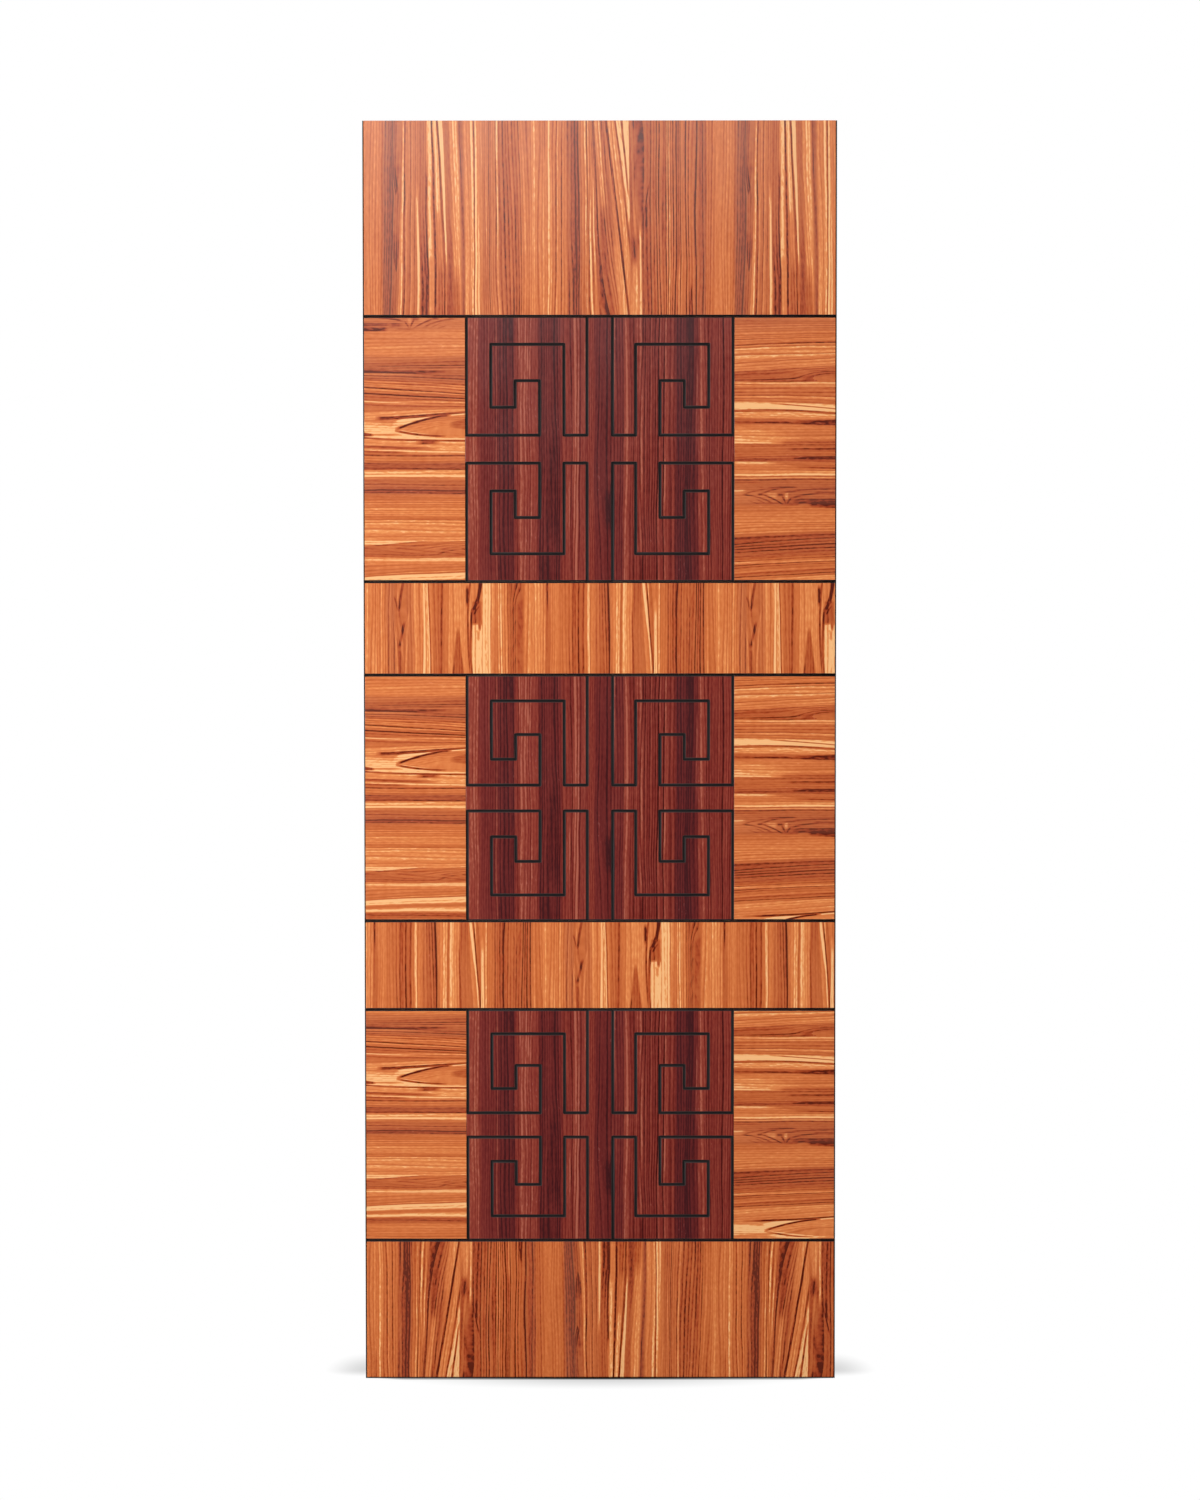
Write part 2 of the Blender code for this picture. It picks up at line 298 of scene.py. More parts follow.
LOCK_RAIL_PRINT = {
    "repeat": 567,
    "start": 271,
    "contrast": 1.14,
    "length": 150,
    "bands": (
        (271, 0.66, 0.3, 0.0), (283, 0.74, 0.3, 0.0), (289, 0.64, 0.6, 0.0), (308, 0.50, 0.5, 0.4),
        (322, 0.42, 0.3, 0.1), (340, 0.42, 0.4, 0.2), (352, 0.70, 0.3, 0.0), (364, 0.76, 0.3, 0.0),
        (376, 0.60, 0.3, 0.0), (382, 0.42, 0.3, 0.0), (400, 0.54, 0.3, 0.0), (408, 0.73, 0.15, 0.0),
        (436, 0.74, 0.2, 0.0), (446, 0.62, 0.2, 0.0), (462, 0.82, 0.15, 0.0), (477, 0.62, 0.7, 0.0),
        (492, 0.64, 0.9, 0.0), (507, 0.26, 0.3, 0.1), (528, 0.64, 0.6, 0.0), (542, 0.78, 0.5, 0.0),
        (564, 0.38, 0.3, 0.0), (572, 0.70, 0.3, 0.0), (582, 0.50, 0.4, 0.0), (603, 0.28, 0.5, 0.0),
        (628, 0.48, 0.3, 0.0), (631, 0.64, 0.3, 0.0), (639, 0.60, 0.3, 0.0), (645, 0.36, 0.5, 0.1),
        (672, 0.73, 0.25, 0.0), (707, 0.42, 0.1, 0.1), (722, 0.55, 0.3, 0.0), (740, 0.50, 0.3, 0.0),
        (751, 0.48, 0.3, 0.0), (760, 0.32, 0.6, 0.1), (792, 0.26, 0.6, 0.1), (823, 0.60, 0.6, 0.0),
        (838, 0.66, 0.3, 0.0),
    ),
    "streaks": (
        streak(1.00, (366.5, -5), (368.5, 156), 2.6),
        streak(0.86, (372, -5), (377, 156), 2.6, 2.0),
        streak(0.22, (375, -5), (379.5, 156), 1.4, 1.0),
        streak(0.20, (396.5, -5), (395.5, 156), 3.2, 2.4),
        streak(0.30, (385, 50), (386, 156), 0.6, 2.0),
        streak(0.24, (423, 72), (423, 156), 2, 19, soft=1.6, fade=10),
        streak(0.70, (450, -5), (446, 60), 9, 6, soft=1.5, fade=10),
        streak(0.96, (469.5, -5), (470, 156), 13, 15, soft=1.5),
        streak(0.30, (454, 30), (454, 76), 14, 17, soft=1.2, fade=4),
        streak(0.97, (455, 66), (455, 156), 15, 18, soft=1.5, fade=5),
        streak(0.30, (459.5, 60), (459, 80), 5, 2.5, soft=1.0, fade=5),
        streak(0.72, (457, 76), (456.5, 98), 4, 1.5, soft=1.2, fade=8),
        streak(0.02, (460, -5), (453, 36), 5, 5, bulge=1.5, soft=1.2, fade=4),
        streak(0.04, (457, 30), (446, 48), 5, 4, soft=1.2, fade=4),
        streak(0.10, (458, 38), (449, 54), 1.6, 1.6, fade=4),
        streak(0.08, (446.5, 42), (446, 156), 2.8, 1.8, bulge=-2.5, fade=8),
        streak(0.24, (443, -5), (444, 156), 2.0, 1.6, bulge=-4.0),
        streak(0.06, (439, 4), (438, 42), 5.5, 3.0, soft=1.6, fade=10),
        streak(0.08, (336, -5), (328, 50), 3.0, 2.4, fade=8),
        streak(0.16, (321, 22), (328, 50), 1.6, 2.0, fade=6),
        streak(0.66, (331, -5), (326, 34), 3.0, 1.2, fade=8),
        streak(0.30, (328, 48), (328, 60), 3.5, 1.5, soft=1.5, fade=5),
        streak(0.08, (337.5, 62), (328, 110), 3.4, 2.4, bulge=-0.5, fade=8),
        streak(0.18, (321.5, 84), (327.5, 110), 1.6, 1.8, fade=6),
        streak(0.22, (328, 108), (330, 156), 4, 9, soft=2, fade=5),
        streak(0.68, (344, 46), (337.5, 156), 1.6, 1.8, bulge=-0.8, fade=14),
        streak(0.70, (322.5, 70), (324.5, 156), 1.4, 1.8, fade=12),
        streak(0.20, (567.5, -5), (568, 60), 2.4, 1.0),
        streak(0.17, (609.5, -5), (610, 156), 2.2),
        streak(0.12, (617.5, -5), (618, 156), 1.8),
        streak(0.98, (634, -5), (634.5, 156), 1.8),
        streak(0.22, (665, -5), (668, 156), 2.2),
        streak(0.86, (680, -5), (681, 156), 3.2, soft=1.5),
        streak(0.24, (687, -5), (686.5, 156), 1.8),
        streak(0.82, (692, -5), (693, 156), 3.4, soft=1.5),
        streak(0.26, (705, 20), (706.5, 156), 1.0, 2.4),
        streak(0.32, (714, -20), (709, 70), 17, 1, soft=3),
        streak(0.90, (721.5, -5), (734, 110), 3.4, 2.4),
        streak(0.92, (729, -5), (736, 156), 2.0, 2.2, bulge=-1.0),
        streak(0.20, (726, -5), (738, 156), 1.0, 1.6, bulge=1.0),
        streak(0.99, (742, 20), (741, 156), 1.2, 4.2),
        streak(0.82, (747, -5), (747, 156), 1.6),
    ),
    "arrows": (
        arrows((517, 0), False, 9, 22, 30, 190, 0.30, 0.20),
        arrows((796, 60), True, 9, 60, 50, 80, 0.36, 0.20),
    ),
    "flames": (
        flame((328, 112), True, 14, 70, 8),
        flame((517, 0), False, 13, 40, 8),
    ),
}

LEFT_PANEL_PRINT = {
    "repeat": 1000,
    "start": 180,
    "contrast": 1.22,
    "length": 164,
    "bands": (
        (180, 0.50, 0.15, 0.3), (214, 0.62, 0.3, 0.0), (228, 0.66, 0.3, 0.0), (256, 0.36, 0.7, 0.4),
        (296, 0.50, 0.9, 0.0), (316, 0.34, 0.9, 0.0), (342, 0.74, 0.2, 0.0), (352, 0.62, 0.1, 0.0),
        (384, 0.93, 0.1, 0.0), (393, 0.74, 0.4, 0.0), (400, 0.76, 0.6, 0.0), (412, 0.48, 0.7, 0.1),
        (426, 0.26, 0.4, 0.4), (437, 0.76, 0.3, 0.0), (453, 0.42, 0.5, 0.3), (465, 0.36, 0.5, 0.4),
        (480, 0.52, 0.5, 0.0), (500, 0.74, 0.4, 0.0), (512, 0.44, 0.3, 0.0), (518, 0.70, 0.5, 0.0),
        (552, 0.94, 0.3, 0.0), (561, 0.42, 0.2, 0.1), (579, 0.68, 0.6, 0.0), (590, 0.54, 0.5, 0.0),
        (606, 0.88, 0.15, 0.0), (618, 0.42, 0.2, 0.0), (624, 0.98, 0.2, 0.0), (631, 0.30, 0.2, 0.1),
        (643, 0.58, 0.2, 0.0), (680, 0.50, 0.3, 0.0),
    ),
    "streaks": (
        streak(0.14, (275, -5), (276, 175), 1.8),
        streak(0.10, (281.5, 20), (280.5, 175), 2.0, 4.0),
        streak(0.60, (287, -5), (284, 175), 1.6),
        streak(0.72, (310, -5), (300, 175), 1.6),
        streak(0.28, (304, 10), (299, 130), 1.8, 1.2),
        streak(0.72, (332, -5), (327, 175), 1.8),
        streak(0.28, (365, -10), (366, 26), 18, 6, soft=2, fade=8),
        streak(0.88, (371, 106), (372, 180), 14, 21, soft=1.5, fade=8),
        streak(0.98, (347, -5), (365, 118), 3.4, 9, bulge=-2.5, fade=10),
        streak(0.95, (386.5, 34), (377, 122), 5, 11, bulge=1.0, fade=24),
        streak(0.08, (351, 20), (374, 114), 2.0, 2.8, bulge=-4.5, fade=10),
        streak(0.14, (383.5, 30), (374.5, 114), 1.6, 2.6, bulge=2.5, fade=10),
        streak(0.08, (346, -5), (355.5, 146), 2.0, 5.0, bulge=1.0, fade=10),
        streak(0.22, (391, -5), (387, 175), 1.8, 1.6, bulge=1.0),
        streak(0.18, (393, 40), (394, 80), 4, 7, soft=2),
        streak(0.12, (383, 146), (381, 180), 2, 8, soft=1.5, fade=6),
        streak(0.22, (405, 40), (401, 175), 3.0),
        streak(0.24, (411, 90), (409, 175), 2.8),
        streak(0.99, (449, -5), (448.5, 175), 2.4),
        streak(0.18, (437.2, -5), (437, 175), 1.4),
        streak(0.12, (474.5, -5), (473, 175), 5, 3.4, soft=1.5),
        streak(0.80, (583, -5), (583, 175), 2.0),
        streak(0.98, (606, -5), (614, 175), 3.2),
        streak(0.26, (602.5, -5), (610.5, 175), 1.2),
    ) + knot((209, 88), -1),
    "arrows": (
        arrows((566, 75), True, 12, 90, 34, 120, 0.52, 0.28),
        arrows((564, 175), True, 12, 120, 60, 110, 0.52, 0.30),
    ),
    "flames": (
        flame((367, 112), True, 18, 90, 9),
        flame((566, 80), True, 17, 80, 10),
    ),
}

RIGHT_PANEL_PRINT = {
    "repeat": 1000,
    "start": 470,
    "contrast": 1.30,
    "length": 164,
    "bands": (
        (470, 0.46, 0.3, 0.2), (499, 0.60, 0.3, 0.0), (510, 0.48, 0.6, 0.0), (522, 0.64, 0.7, 0.0),
        (552, 0.70, 0.3, 0.0), (560, 0.38, 0.2, 0.0), (580, 0.36, 0.5, 0.0), (591, 0.46, 0.7, 0.0),
        (615, 0.86, 0.15, 0.0), (629, 0.80, 0.1, 0.0), (640, 0.36, 0.2, 0.0), (650, 0.60, 0.15, 0.0),
        (676, 0.37, 0.3, 0.0), (700, 0.40, 0.3, 0.1), (713, 0.50, 0.3, 0.0), (724, 0.56, 0.5, 0.0),
        (733, 0.36, 0.25, 0.3), (745, 0.37, 0.15, 0.4), (778, 0.47, 0.2, 0.0), (790, 0.60, 0.35, 0.0),
        (822, 0.31, 0.4, 0.2), (860, 0.38, 0.4, 0.0), (878, 0.36, 0.5, 0.0), (893, 0.72, 0.3, 0.0),
        (912, 0.66, 0.1, 0.0), (952, 0.66, 0.2, 0.0), (960, 0.50, 0.3, 0.0),
    ),
    "streaks": (
        streak(0.28, (568, -5), (579, 140), 4, 1.6, soft=1.5),
        streak(0.32, (562, 60), (571, 175), 2, 9, soft=2),
        streak(0.74, (583, -5), (582, 175), 1.8),
        streak(0.74, (588, -5), (587, 175), 1.2),
        streak(0.97, (624.5, -5), (619.5, 175), 8, 9, soft=1.5),
        streak(0.34, (624, -5), (615.5, 110), 0.7, 0.4, fade=30),
        streak(0.24, (631.5, -5), (627, 175), 2.0, 3.2, bulge=-2.0),
        streak(0.08, (646, -5), (647, 74), 10, 4.0, soft=2.5, fade=30),
        streak(0.18, (647, 40), (646.5, 175), 5, 2.6, soft=2),
        streak(0.74, (670, 50), (668, 180), 8, 28, soft=4, fade=50),
        streak(0.86, (680, 74), (675, 180), 2, 8, soft=2),
        streak(0.36, (678, -5), (680, 90), 7, 2, soft=3),
        streak(0.22, (683, -5), (684.5, 175), 1.0, 1.2),
        streak(0.10, (688.5, -5), (690.5, 95), 5, 2, soft=2),
        streak(0.28, (690.5, 80), (692.5, 175), 1.0, 1.8),
        streak(0.06, (702.5, -5), (704.5, 84), 4.0, 1.8, soft=1.5),
        streak(0.18, (704.5, 68), (705.5, 175), 1.4, 1.4),
        streak(0.22, (719, -5), (717, 70), 2.4, 1.0, soft=1.5),
        streak(0.84, (713, 80), (711, 180), 2, 5, soft=1.5),
        streak(0.84, (729, -5), (730.5, 175), 1.8, 2.6),
        streak(0.82, (734, -5), (735, 175), 1.2),
        streak(0.72, (866, -5), (872, 175), 2.0),
        streak(0.96, (914, -5), (932, 118), 3.4, 9, bulge=-2.5, fade=10),
        streak(0.92, (953, 10), (944, 120), 4, 11, bulge=1.0),
        streak(0.88, (938, 106), (939, 180), 14, 21, soft=1.5, fade=8),
        streak(0.08, (917.5, 20), (941, 114), 2.0, 2.8, bulge=-4.5, fade=10),
        streak(0.18, (913, -5), (922.5, 150), 1.6, 3.5, bulge=1.0),
        streak(0.22, (951, 30), (941, 114), 1.0, 2.0, bulge=2.5),
    ) + knot((774, 79.5), 1),
    "arrows": (
        arrows((566, 0), False, 9, 60, 60, 60, 0.46, 0.30),
    ),
    "flames": (
        flame((566, 90), True, 15, 70, 8),
        flame((934, 112), True, 18, 90, 9),
    ),
}

DARK_PRINT = {
    "repeat": 1000,
    "start": -20,
    "contrast": 1.40,
    "length": 426,
    "bands": (
        (-20, 0.72, 0.4, 0.0), (15, 0.62, 0.5, 0.0), (21, 0.44, 0.3, 0.6), (37, 0.45, 0.5, 0.6),
        (44, 0.58, 0.5, 0.5), (51, 0.27, 0.4, 0.7), (79, 0.53, 0.6, 0.0), (87, 0.78, 0.5, 0.0),
        (100, 0.60, 0.5, 0.0), (109, 0.62, 0.5, 0.0), (118, 0.33, 0.4, 0.6), (155, 0.50, 0.5, 0.0),
        (174, 0.90, 0.5, 0.0), (182, 0.56, 0.5, 0.3), (197, 0.55, 0.4, 0.0), (201, 0.60, 0.4, 0.0),
        (208, 0.33, 0.4, 0.6), (231, 0.44, 0.5, 0.6), (256, 0.70, 0.5, 0.0), (262, 0.50, 0.5, 0.0),
        (281, 0.88, 0.5, 0.0), (285, 0.50, 0.6, 0.0), (321, 0.70, 0.5, 0.0), (326, 0.45, 0.4, 0.0),
        (339, 0.20, 0.3, 0.8), (368, 0.38, 0.4, 0.6), (376, 0.64, 0.5, 0.0), (385, 0.50, 0.5, 0.0),
        (460, 0.50, 0.4, 0.0),
    ),
    "streaks": (
        streak(0.16, (70, -5), (71, 48), 16, 12, soft=5, fade=20),
        streak(0.18, (141, 180), (143, 370), 10, 16, soft=5),
        streak(0.12, (232, 270), (234, 350), 14, 18, soft=6),
        streak(0.36, (283, 375), (282, 430), 6, 9, soft=4),
        streak(0.16, (130, 375), (131, 430), 12, 16, soft=4),
        streak(0.14, (360, -5), (359, 50), 14, 10, soft=5),
        streak(0.80, (86, -5), (88, 84), 1.2, 2.0, soft=1.5),
        streak(0.86, (97, 44), (105, 104), 2.0, 3.0, soft=2),
        streak(0.82, (322, 205), (321, 325), 1.2, 1.6, soft=1.5),
        streak(0.78, (168, 236), (169, 430), 1.0, 1.4, soft=1.5),
        streak(0.76, (240, -5), (239, 190), 0.8, 1.0, soft=1.0),
        streak(0.74, (372, 60), (374, 240), 1.4, 1.0, soft=1.5),
    ),
    "arrows": (),
    "flames": (),
}


# ---- Node trees ----------------------------------------------------------------------------

class Graph:
    """Adds nodes to one tree, feeding each input with a value or another node's output."""

    def __init__(self, tree):
        self.tree = tree

    def feed(self, socket, value):
        """Link a socket to an output, or set its own value."""
        if isinstance(value, bpy.types.NodeSocket):
            self.tree.links.new(value, socket)
        else:
            socket.default_value = value

    def add(self, kind, inputs=None, **settings):
        """A node with its settings and its inputs, by name or by number."""
        node = self.tree.nodes.new(kind)
        for name, value in settings.items():
            setattr(node, name, value)
        for key, value in (inputs or {}).items():
            self.feed(node.inputs[key], value)
        return node

    def ends(self):
        """What a group's tree is given, and where its results go."""
        return self.add("NodeGroupInput").outputs, self.add("NodeGroupOutput").inputs

    def math(self, operation, *values, clamp=False):
        """The result of a Math node."""
        inputs = dict(enumerate(values))
        return self.add("ShaderNodeMath", inputs, operation=operation, use_clamp=clamp).outputs[0]

    def between(self, value, low, high, out_low=0.0, out_high=1.0, way="SMOOTHSTEP"):
        """A smooth step from one value to another, held at its ends."""
        inputs = {
            "Value": value, "From Min": low, "From Max": high, "To Min": out_low, "To Max": out_high,
        }
        return self.add("ShaderNodeMapRange", inputs, interpolation_type=way).outputs["Result"]

    def remap(self, *values):
        """A straight step from one value to another, held at its ends."""
        return self.between(*values, way="LINEAR")

    def sway(self, value, noise, amount):
        """A value moved up where a noise is over a half and down where it is under."""
        return self.math("MULTIPLY_ADD", self.math("SUBTRACT", noise, 0.5), amount, value)

    def positive(self, value):
        """A value held at zero from below."""
        return self.math("MAXIMUM", value, 0.0)

    def mix(self, factor, first, second):
        """A number between two others."""
        inputs = {0: factor, 2: first, 3: second}
        return self.add("ShaderNodeMix", inputs, data_type="FLOAT").outputs[0]

    def mix_colour(self, factor, first, second):
        """A colour between two others."""
        inputs = {0: factor, 6: first, 7: second}
        return self.add("ShaderNodeMix", inputs, data_type="RGBA").outputs[2]

    def coordinates(self, kind):
        """The X, Y and Z of a kind of texture coordinate."""
        place = self.add("ShaderNodeTexCoord").outputs[kind]
        return self.add("ShaderNodeSeparateXYZ", {0: place}).outputs

    def noise(self, across, along, across_scale, along_scale, detail):
        """Smooth noise over a surface, from 0 to 1, with its own scale each way."""
        across = self.math("MULTIPLY", across, across_scale)
        along = self.math("MULTIPLY", along, along_scale)
        place = self.add("ShaderNodeCombineXYZ", {0: across, 1: along}).outputs[0]
        inputs = {"Vector": place, "Scale": 1.0, "Detail": detail}
        return self.add("ShaderNodeTexNoise", inputs, noise_dimensions="2D").outputs["Fac"]

    def object_noise(self, scale, detail=2.0, squash=(1.0, 1.0, 1.0)):
        """Noise in the object's own space, squashed along some axes."""
        place = self.add("ShaderNodeTexCoord").outputs["Object"]
        squashed = self.add("ShaderNodeMapping", {"Vector": place, "Scale": squash}).outputs["Vector"]
        inputs = {"Vector": squashed, "Scale": scale, "Detail": detail}
        return self.add("ShaderNodeTexNoise", inputs).outputs["Fac"]

    def ramp(self, value, stops, interpolation="LINEAR"):
        """The colour of a ramp with these (position, colour) stops."""
        node = self.add("ShaderNodeValToRGB", {"Fac": value})
        ramp = node.color_ramp
        ramp.interpolation = interpolation
        while len(ramp.elements) < len(stops):
            ramp.elements.new(1.0)
        for element, (position, colour) in zip(ramp.elements, stops):
            element.position = position
            element.color = (*colour, 1.0)
        return node.outputs["Color"]

    def place(self, group, **inputs):
        """A group node's outputs; an input's name has underscores for its spaces."""
        node = self.add("ShaderNodeGroup", node_tree=group)
        for name, value in inputs.items():
            self.feed(node.inputs[name.replace("_", " ").title()], value)
        return node.outputs

    def relief(self, shader, height, strength, distance):
        """Relief on a shader, from a height."""
        inputs = {"Strength": strength, "Distance": distance, "Height": height}
        bump = self.add("ShaderNodeBump", inputs)
        self.feed(shader.inputs["Normal"], bump.outputs["Normal"])


def new_group(name, inputs, outputs):
    """A shader node group with named number inputs and outputs."""
    tree = bpy.data.node_groups.new(name, "ShaderNodeTree")
    for label, value in inputs:
        socket = tree.interface.new_socket(label, in_out="INPUT", socket_type="NodeSocketFloat")
        socket.default_value = value
    for label in outputs:
        tree.interface.new_socket(label, in_out="OUTPUT", socket_type="NodeSocketFloat")
    graph = Graph(tree)
    return graph, *graph.ends()


# ---- Fine grain of the print ---------------------------------------------------------------

# Noises of the grain: how fast each changes across and along the film, and its detail.
GRAIN_NOISES = {
    "drift": (24.0, 2.2, 1.0),
    "bands": (95.0, 3.0, 2.0),
    "flecks": (330.0, 14.0, 1.0),
    "fibres": (330.0, 95.0, 1.0),
    "uneven": (60.0, 0.8, 1.0),
}
NOISE_RANGE = (0.3, 0.7)      # where nearly all of a noise lies
WIDE_RINGS = 215.0            # growth rings to a metre
FINE_RINGS = 330.0
WIDE_DRIFT = 3.5              # how many rings the grain wanders by
WIDE_UNEVEN = 1.6
FINE_DRIFT = 6.5
LINE_BASE = 0.31              # tone of the pinstripes before the rings and flecks are added
WIDE_TONE = 0.40              # most that the rings and flecks add to it
FINE_TONE = 0.26
FLECK_TONE = 0.22
LATEWOOD = (0.40, 0.80)       # part of a wide ring over which it darkens
LATEWOOD_TONE = (-0.45, -0.25)    # what chance adds to its tone there, and the least of it
CHANCE_AGAIN = 7.0            # makes a second random number of a ring's first one
HAIRLINE = (0.70, 0.92)       # part of a wide ring over which its hairline comes in
HAIRLINE_CHANCE = (0.30, 0.12)    # random numbers over which a ring's hairline comes in


def growth_rings(graph, across, drift, rings_per_metre):
    """Which ring of grain each point is in, as a random number, and how far it is through it."""
    phase = graph.math("MULTIPLY_ADD", across, rings_per_metre, drift)
    ring = graph.math("FLOOR", phase)
    chance = graph.add("ShaderNodeTexWhiteNoise", {"W": ring}, noise_dimensions="1D").outputs["Value"]
    return chance, graph.math("FRACT", phase)


def make_grain_group():
    """Fine printed grain: soft bands, growth-ring pinstripes, short fibres and thin hairlines."""
    graph, given, result = new_group(
        "printed grain", (("Across", 0.0), ("Along", 0.0)), ("Bands", "Lines", "Fibres", "Hairlines")
    )
    across, along = given["Across"], given["Along"]
    noises = {name: graph.noise(across, along, *scales) for name, scales in GRAIN_NOISES.items()}
    drift = graph.math("MULTIPLY", noises["drift"], WIDE_DRIFT)
    drift = graph.math("MULTIPLY_ADD", noises["uneven"], WIDE_UNEVEN, drift)
    wide, through = growth_rings(graph, across, drift, WIDE_RINGS)
    fine_drift = graph.math("MULTIPLY", noises["drift"], FINE_DRIFT)
    fine = growth_rings(graph, across, fine_drift, FINE_RINGS)[0]
    chance = graph.math("PINGPONG", graph.math("MULTIPLY", wide, CHANCE_AGAIN), 1.0)
    darkening = graph.math("MULTIPLY_ADD", chance, *LATEWOOD_TONE)
    lines = graph.math("MULTIPLY_ADD", graph.between(through, *LATEWOOD), darkening, LINE_BASE)
    flecks = graph.remap(noises["flecks"], *NOISE_RANGE)
    for part, tone in ((wide, WIDE_TONE), (fine, FINE_TONE), (flecks, FLECK_TONE)):
        lines = graph.math("MULTIPLY_ADD", part, tone, lines)
    edge = graph.between(through, *HAIRLINE)
    chosen = graph.between(wide, *HAIRLINE_CHANCE)
    graph.feed(result["Bands"], graph.remap(noises["bands"], *NOISE_RANGE))
    graph.feed(result["Lines"], lines)
    graph.feed(result["Fibres"], noises["fibres"])
    graph.feed(result["Hairlines"], graph.math("MULTIPLY", edge, chosen))
    return graph.tree


# ---- Figures of the print --------------------------------------------------------------------

STROKE_EDGE = 0.8             # half of a figure line's soft edge, in softnesses
ARROW_POINT = 1.25            # how round an arrowhead's point is: 1 is straight-sided
ARROW_BEGINS = (-3.0, 0.0)    # soft edge at the tip of a set of arrowheads, in millimetres
ARROW_ENDS = (8.0, -8.0)      # the same at its far end
ARROW_SIDES = (1.05, 0.75)    # the same at its sides, in half widths
TIP_INPUTS = (
    ("Across", 0.0), ("Along", 0.0), ("Tip Across", 0.0), ("Tip Along", 0.0), ("Direction", 1.0),
    ("Half Width", 10.0),
)


def make_streak_group():
    """A figure line: a curved, tapering stroke of grain as a soft mask."""
    graph, given, result = new_group(
        "grain streak",
        (("Across", 0.0), ("Along", 0.0), ("Centre", 0.0), ("Slant", 0.0), ("Curl", 0.0),
         ("Start", 0.0), ("End", 300.0), ("Fade In", 1.0), ("Fade Out", 1.0), ("Half Width", 1.0),
         ("Widening", 0.0), ("Softness", 1.0)),
        ("Mask",),
    )
    along, start, end = given["Along"], given["Start"], given["End"]
    part = graph.remap(along, start, end)
    slant = graph.math("MULTIPLY_ADD", part, given["Curl"], given["Slant"])
    centre = graph.math("MULTIPLY_ADD", part, slant, given["Centre"])
    off = graph.math("ABSOLUTE", graph.math("SUBTRACT", given["Across"], centre))
    half_width = graph.math("MULTIPLY_ADD", part, given["Widening"], given["Half Width"])
    inside = graph.math("DIVIDE", graph.math("SUBTRACT", half_width, off), given["Softness"])
    since_start = graph.math("SUBTRACT", along, start)
    to_end = graph.math("SUBTRACT", end, along)
    begun = graph.math("DIVIDE", since_start, given["Fade In"], clamp=True)
    left = graph.math("DIVIDE", to_end, given["Fade Out"], clamp=True)
    body = graph.between(inside, -STROKE_EDGE, STROKE_EDGE)
    graph.feed(result["Mask"], graph.math("MULTIPLY", body, graph.math("MULTIPLY", begun, left)))
    return graph.tree


def from_tip(graph, given):
    """How far off a figure's middle line a point is, in half widths, and how far behind its tip."""
    off = graph.math("ABSOLUTE", graph.math("SUBTRACT", given["Across"], given["Tip Across"]))
    behind = graph.math("SUBTRACT", given["Along"], given["Tip Along"])
    side = graph.math("DIVIDE", off, given["Half Width"])
    return side, graph.math("MULTIPLY", behind, given["Direction"])


def make_arrow_group():
    """Nested arrowheads: where they are, and how far each point is through its ring."""
    inputs = (*TIP_INPUTS, ("Steepness", 50.0), ("Pitch", 50.0), ("Reach", 100.0))
    graph, given, result = new_group("nested arrows", inputs, ("Mask", "Ring"))
    side, behind = from_tip(graph, given)
    pointed = graph.math("POWER", side, ARROW_POINT)
    level = graph.math("SUBTRACT", behind, graph.math("MULTIPLY", pointed, given["Steepness"]))
    begun = graph.between(level, *ARROW_BEGINS)
    ended = graph.between(graph.math("SUBTRACT", level, given["Reach"]), *ARROW_ENDS)
    width = graph.between(side, *ARROW_SIDES)
    ring = graph.math("WRAP", graph.math("DIVIDE", level, given["Pitch"]), 1.0, 0.0)
    graph.feed(result["Mask"], graph.math("MULTIPLY", graph.math("MULTIPLY", begun, ended), width))
    graph.feed(result["Ring"], ring)
    return graph.tree


def make_flame_group():
    """A flame of grain: how far it pushes the grain lines aside, so that they close at its tip."""
    inputs = (*TIP_INPUTS, ("Taper", 50.0), ("Push", 20.0))
    graph, given, result = new_group("grain flame", inputs, ("Push",))
    side, behind = from_tip(graph, given)
    short = graph.positive(graph.math("SUBTRACT", given["Taper"], behind))
    ahead = graph.math("DIVIDE", short, given["Taper"])
    apart = graph.math("MULTIPLY_ADD", ahead, ahead, graph.math("MULTIPLY", side, side))
    height = graph.positive(graph.math("SUBTRACT", 1.0, apart))
    swell = graph.math("MULTIPLY", height, height)
    graph.feed(result["Push"], graph.math("MULTIPLY", swell, given["Push"]))
    return graph.tree


# ---- Finish of the film ----------------------------------------------------------------------

FILM_ROUGHNESS = 0.22
FILM_SPECULAR = 0.20
FILM_RELIEF = (0.35, 0.03 * MM)   # strength and height of its relief
PATCHES = (22.0, 9.0, 1.0)        # noise of the patches that are duller than the rest
PATCH_ROUGHNESS = 0.10
FIBRE_ROUGHNESS = 0.12
LINE_HEIGHT = 0.5                 # of a pinstripe, in heights of a fibre


def make_finish_group():
    """Satin of a pressed film: roughness and relief from its fibres and pinstripes."""
    graph, given, result = new_group(
        "pressed film finish",
        (("Across", 0.0), ("Along", 0.0), ("Lines", 0.5), ("Fibres", 0.5), ("Base Roughness", 0.4)),
        ("Roughness", "Height"),
    )
    patches = graph.noise(given["Across"], given["Along"], *PATCHES)
    rough = graph.sway(given["Base Roughness"], patches, PATCH_ROUGHNESS)
    rough = graph.sway(rough, given["Fibres"], FIBRE_ROUGHNESS)
    graph.feed(result["Roughness"], rough)
    height = graph.math("MULTIPLY_ADD", given["Lines"], LINE_HEIGHT, given["Fibres"])
    graph.feed(result["Height"], height)
    return graph.tree


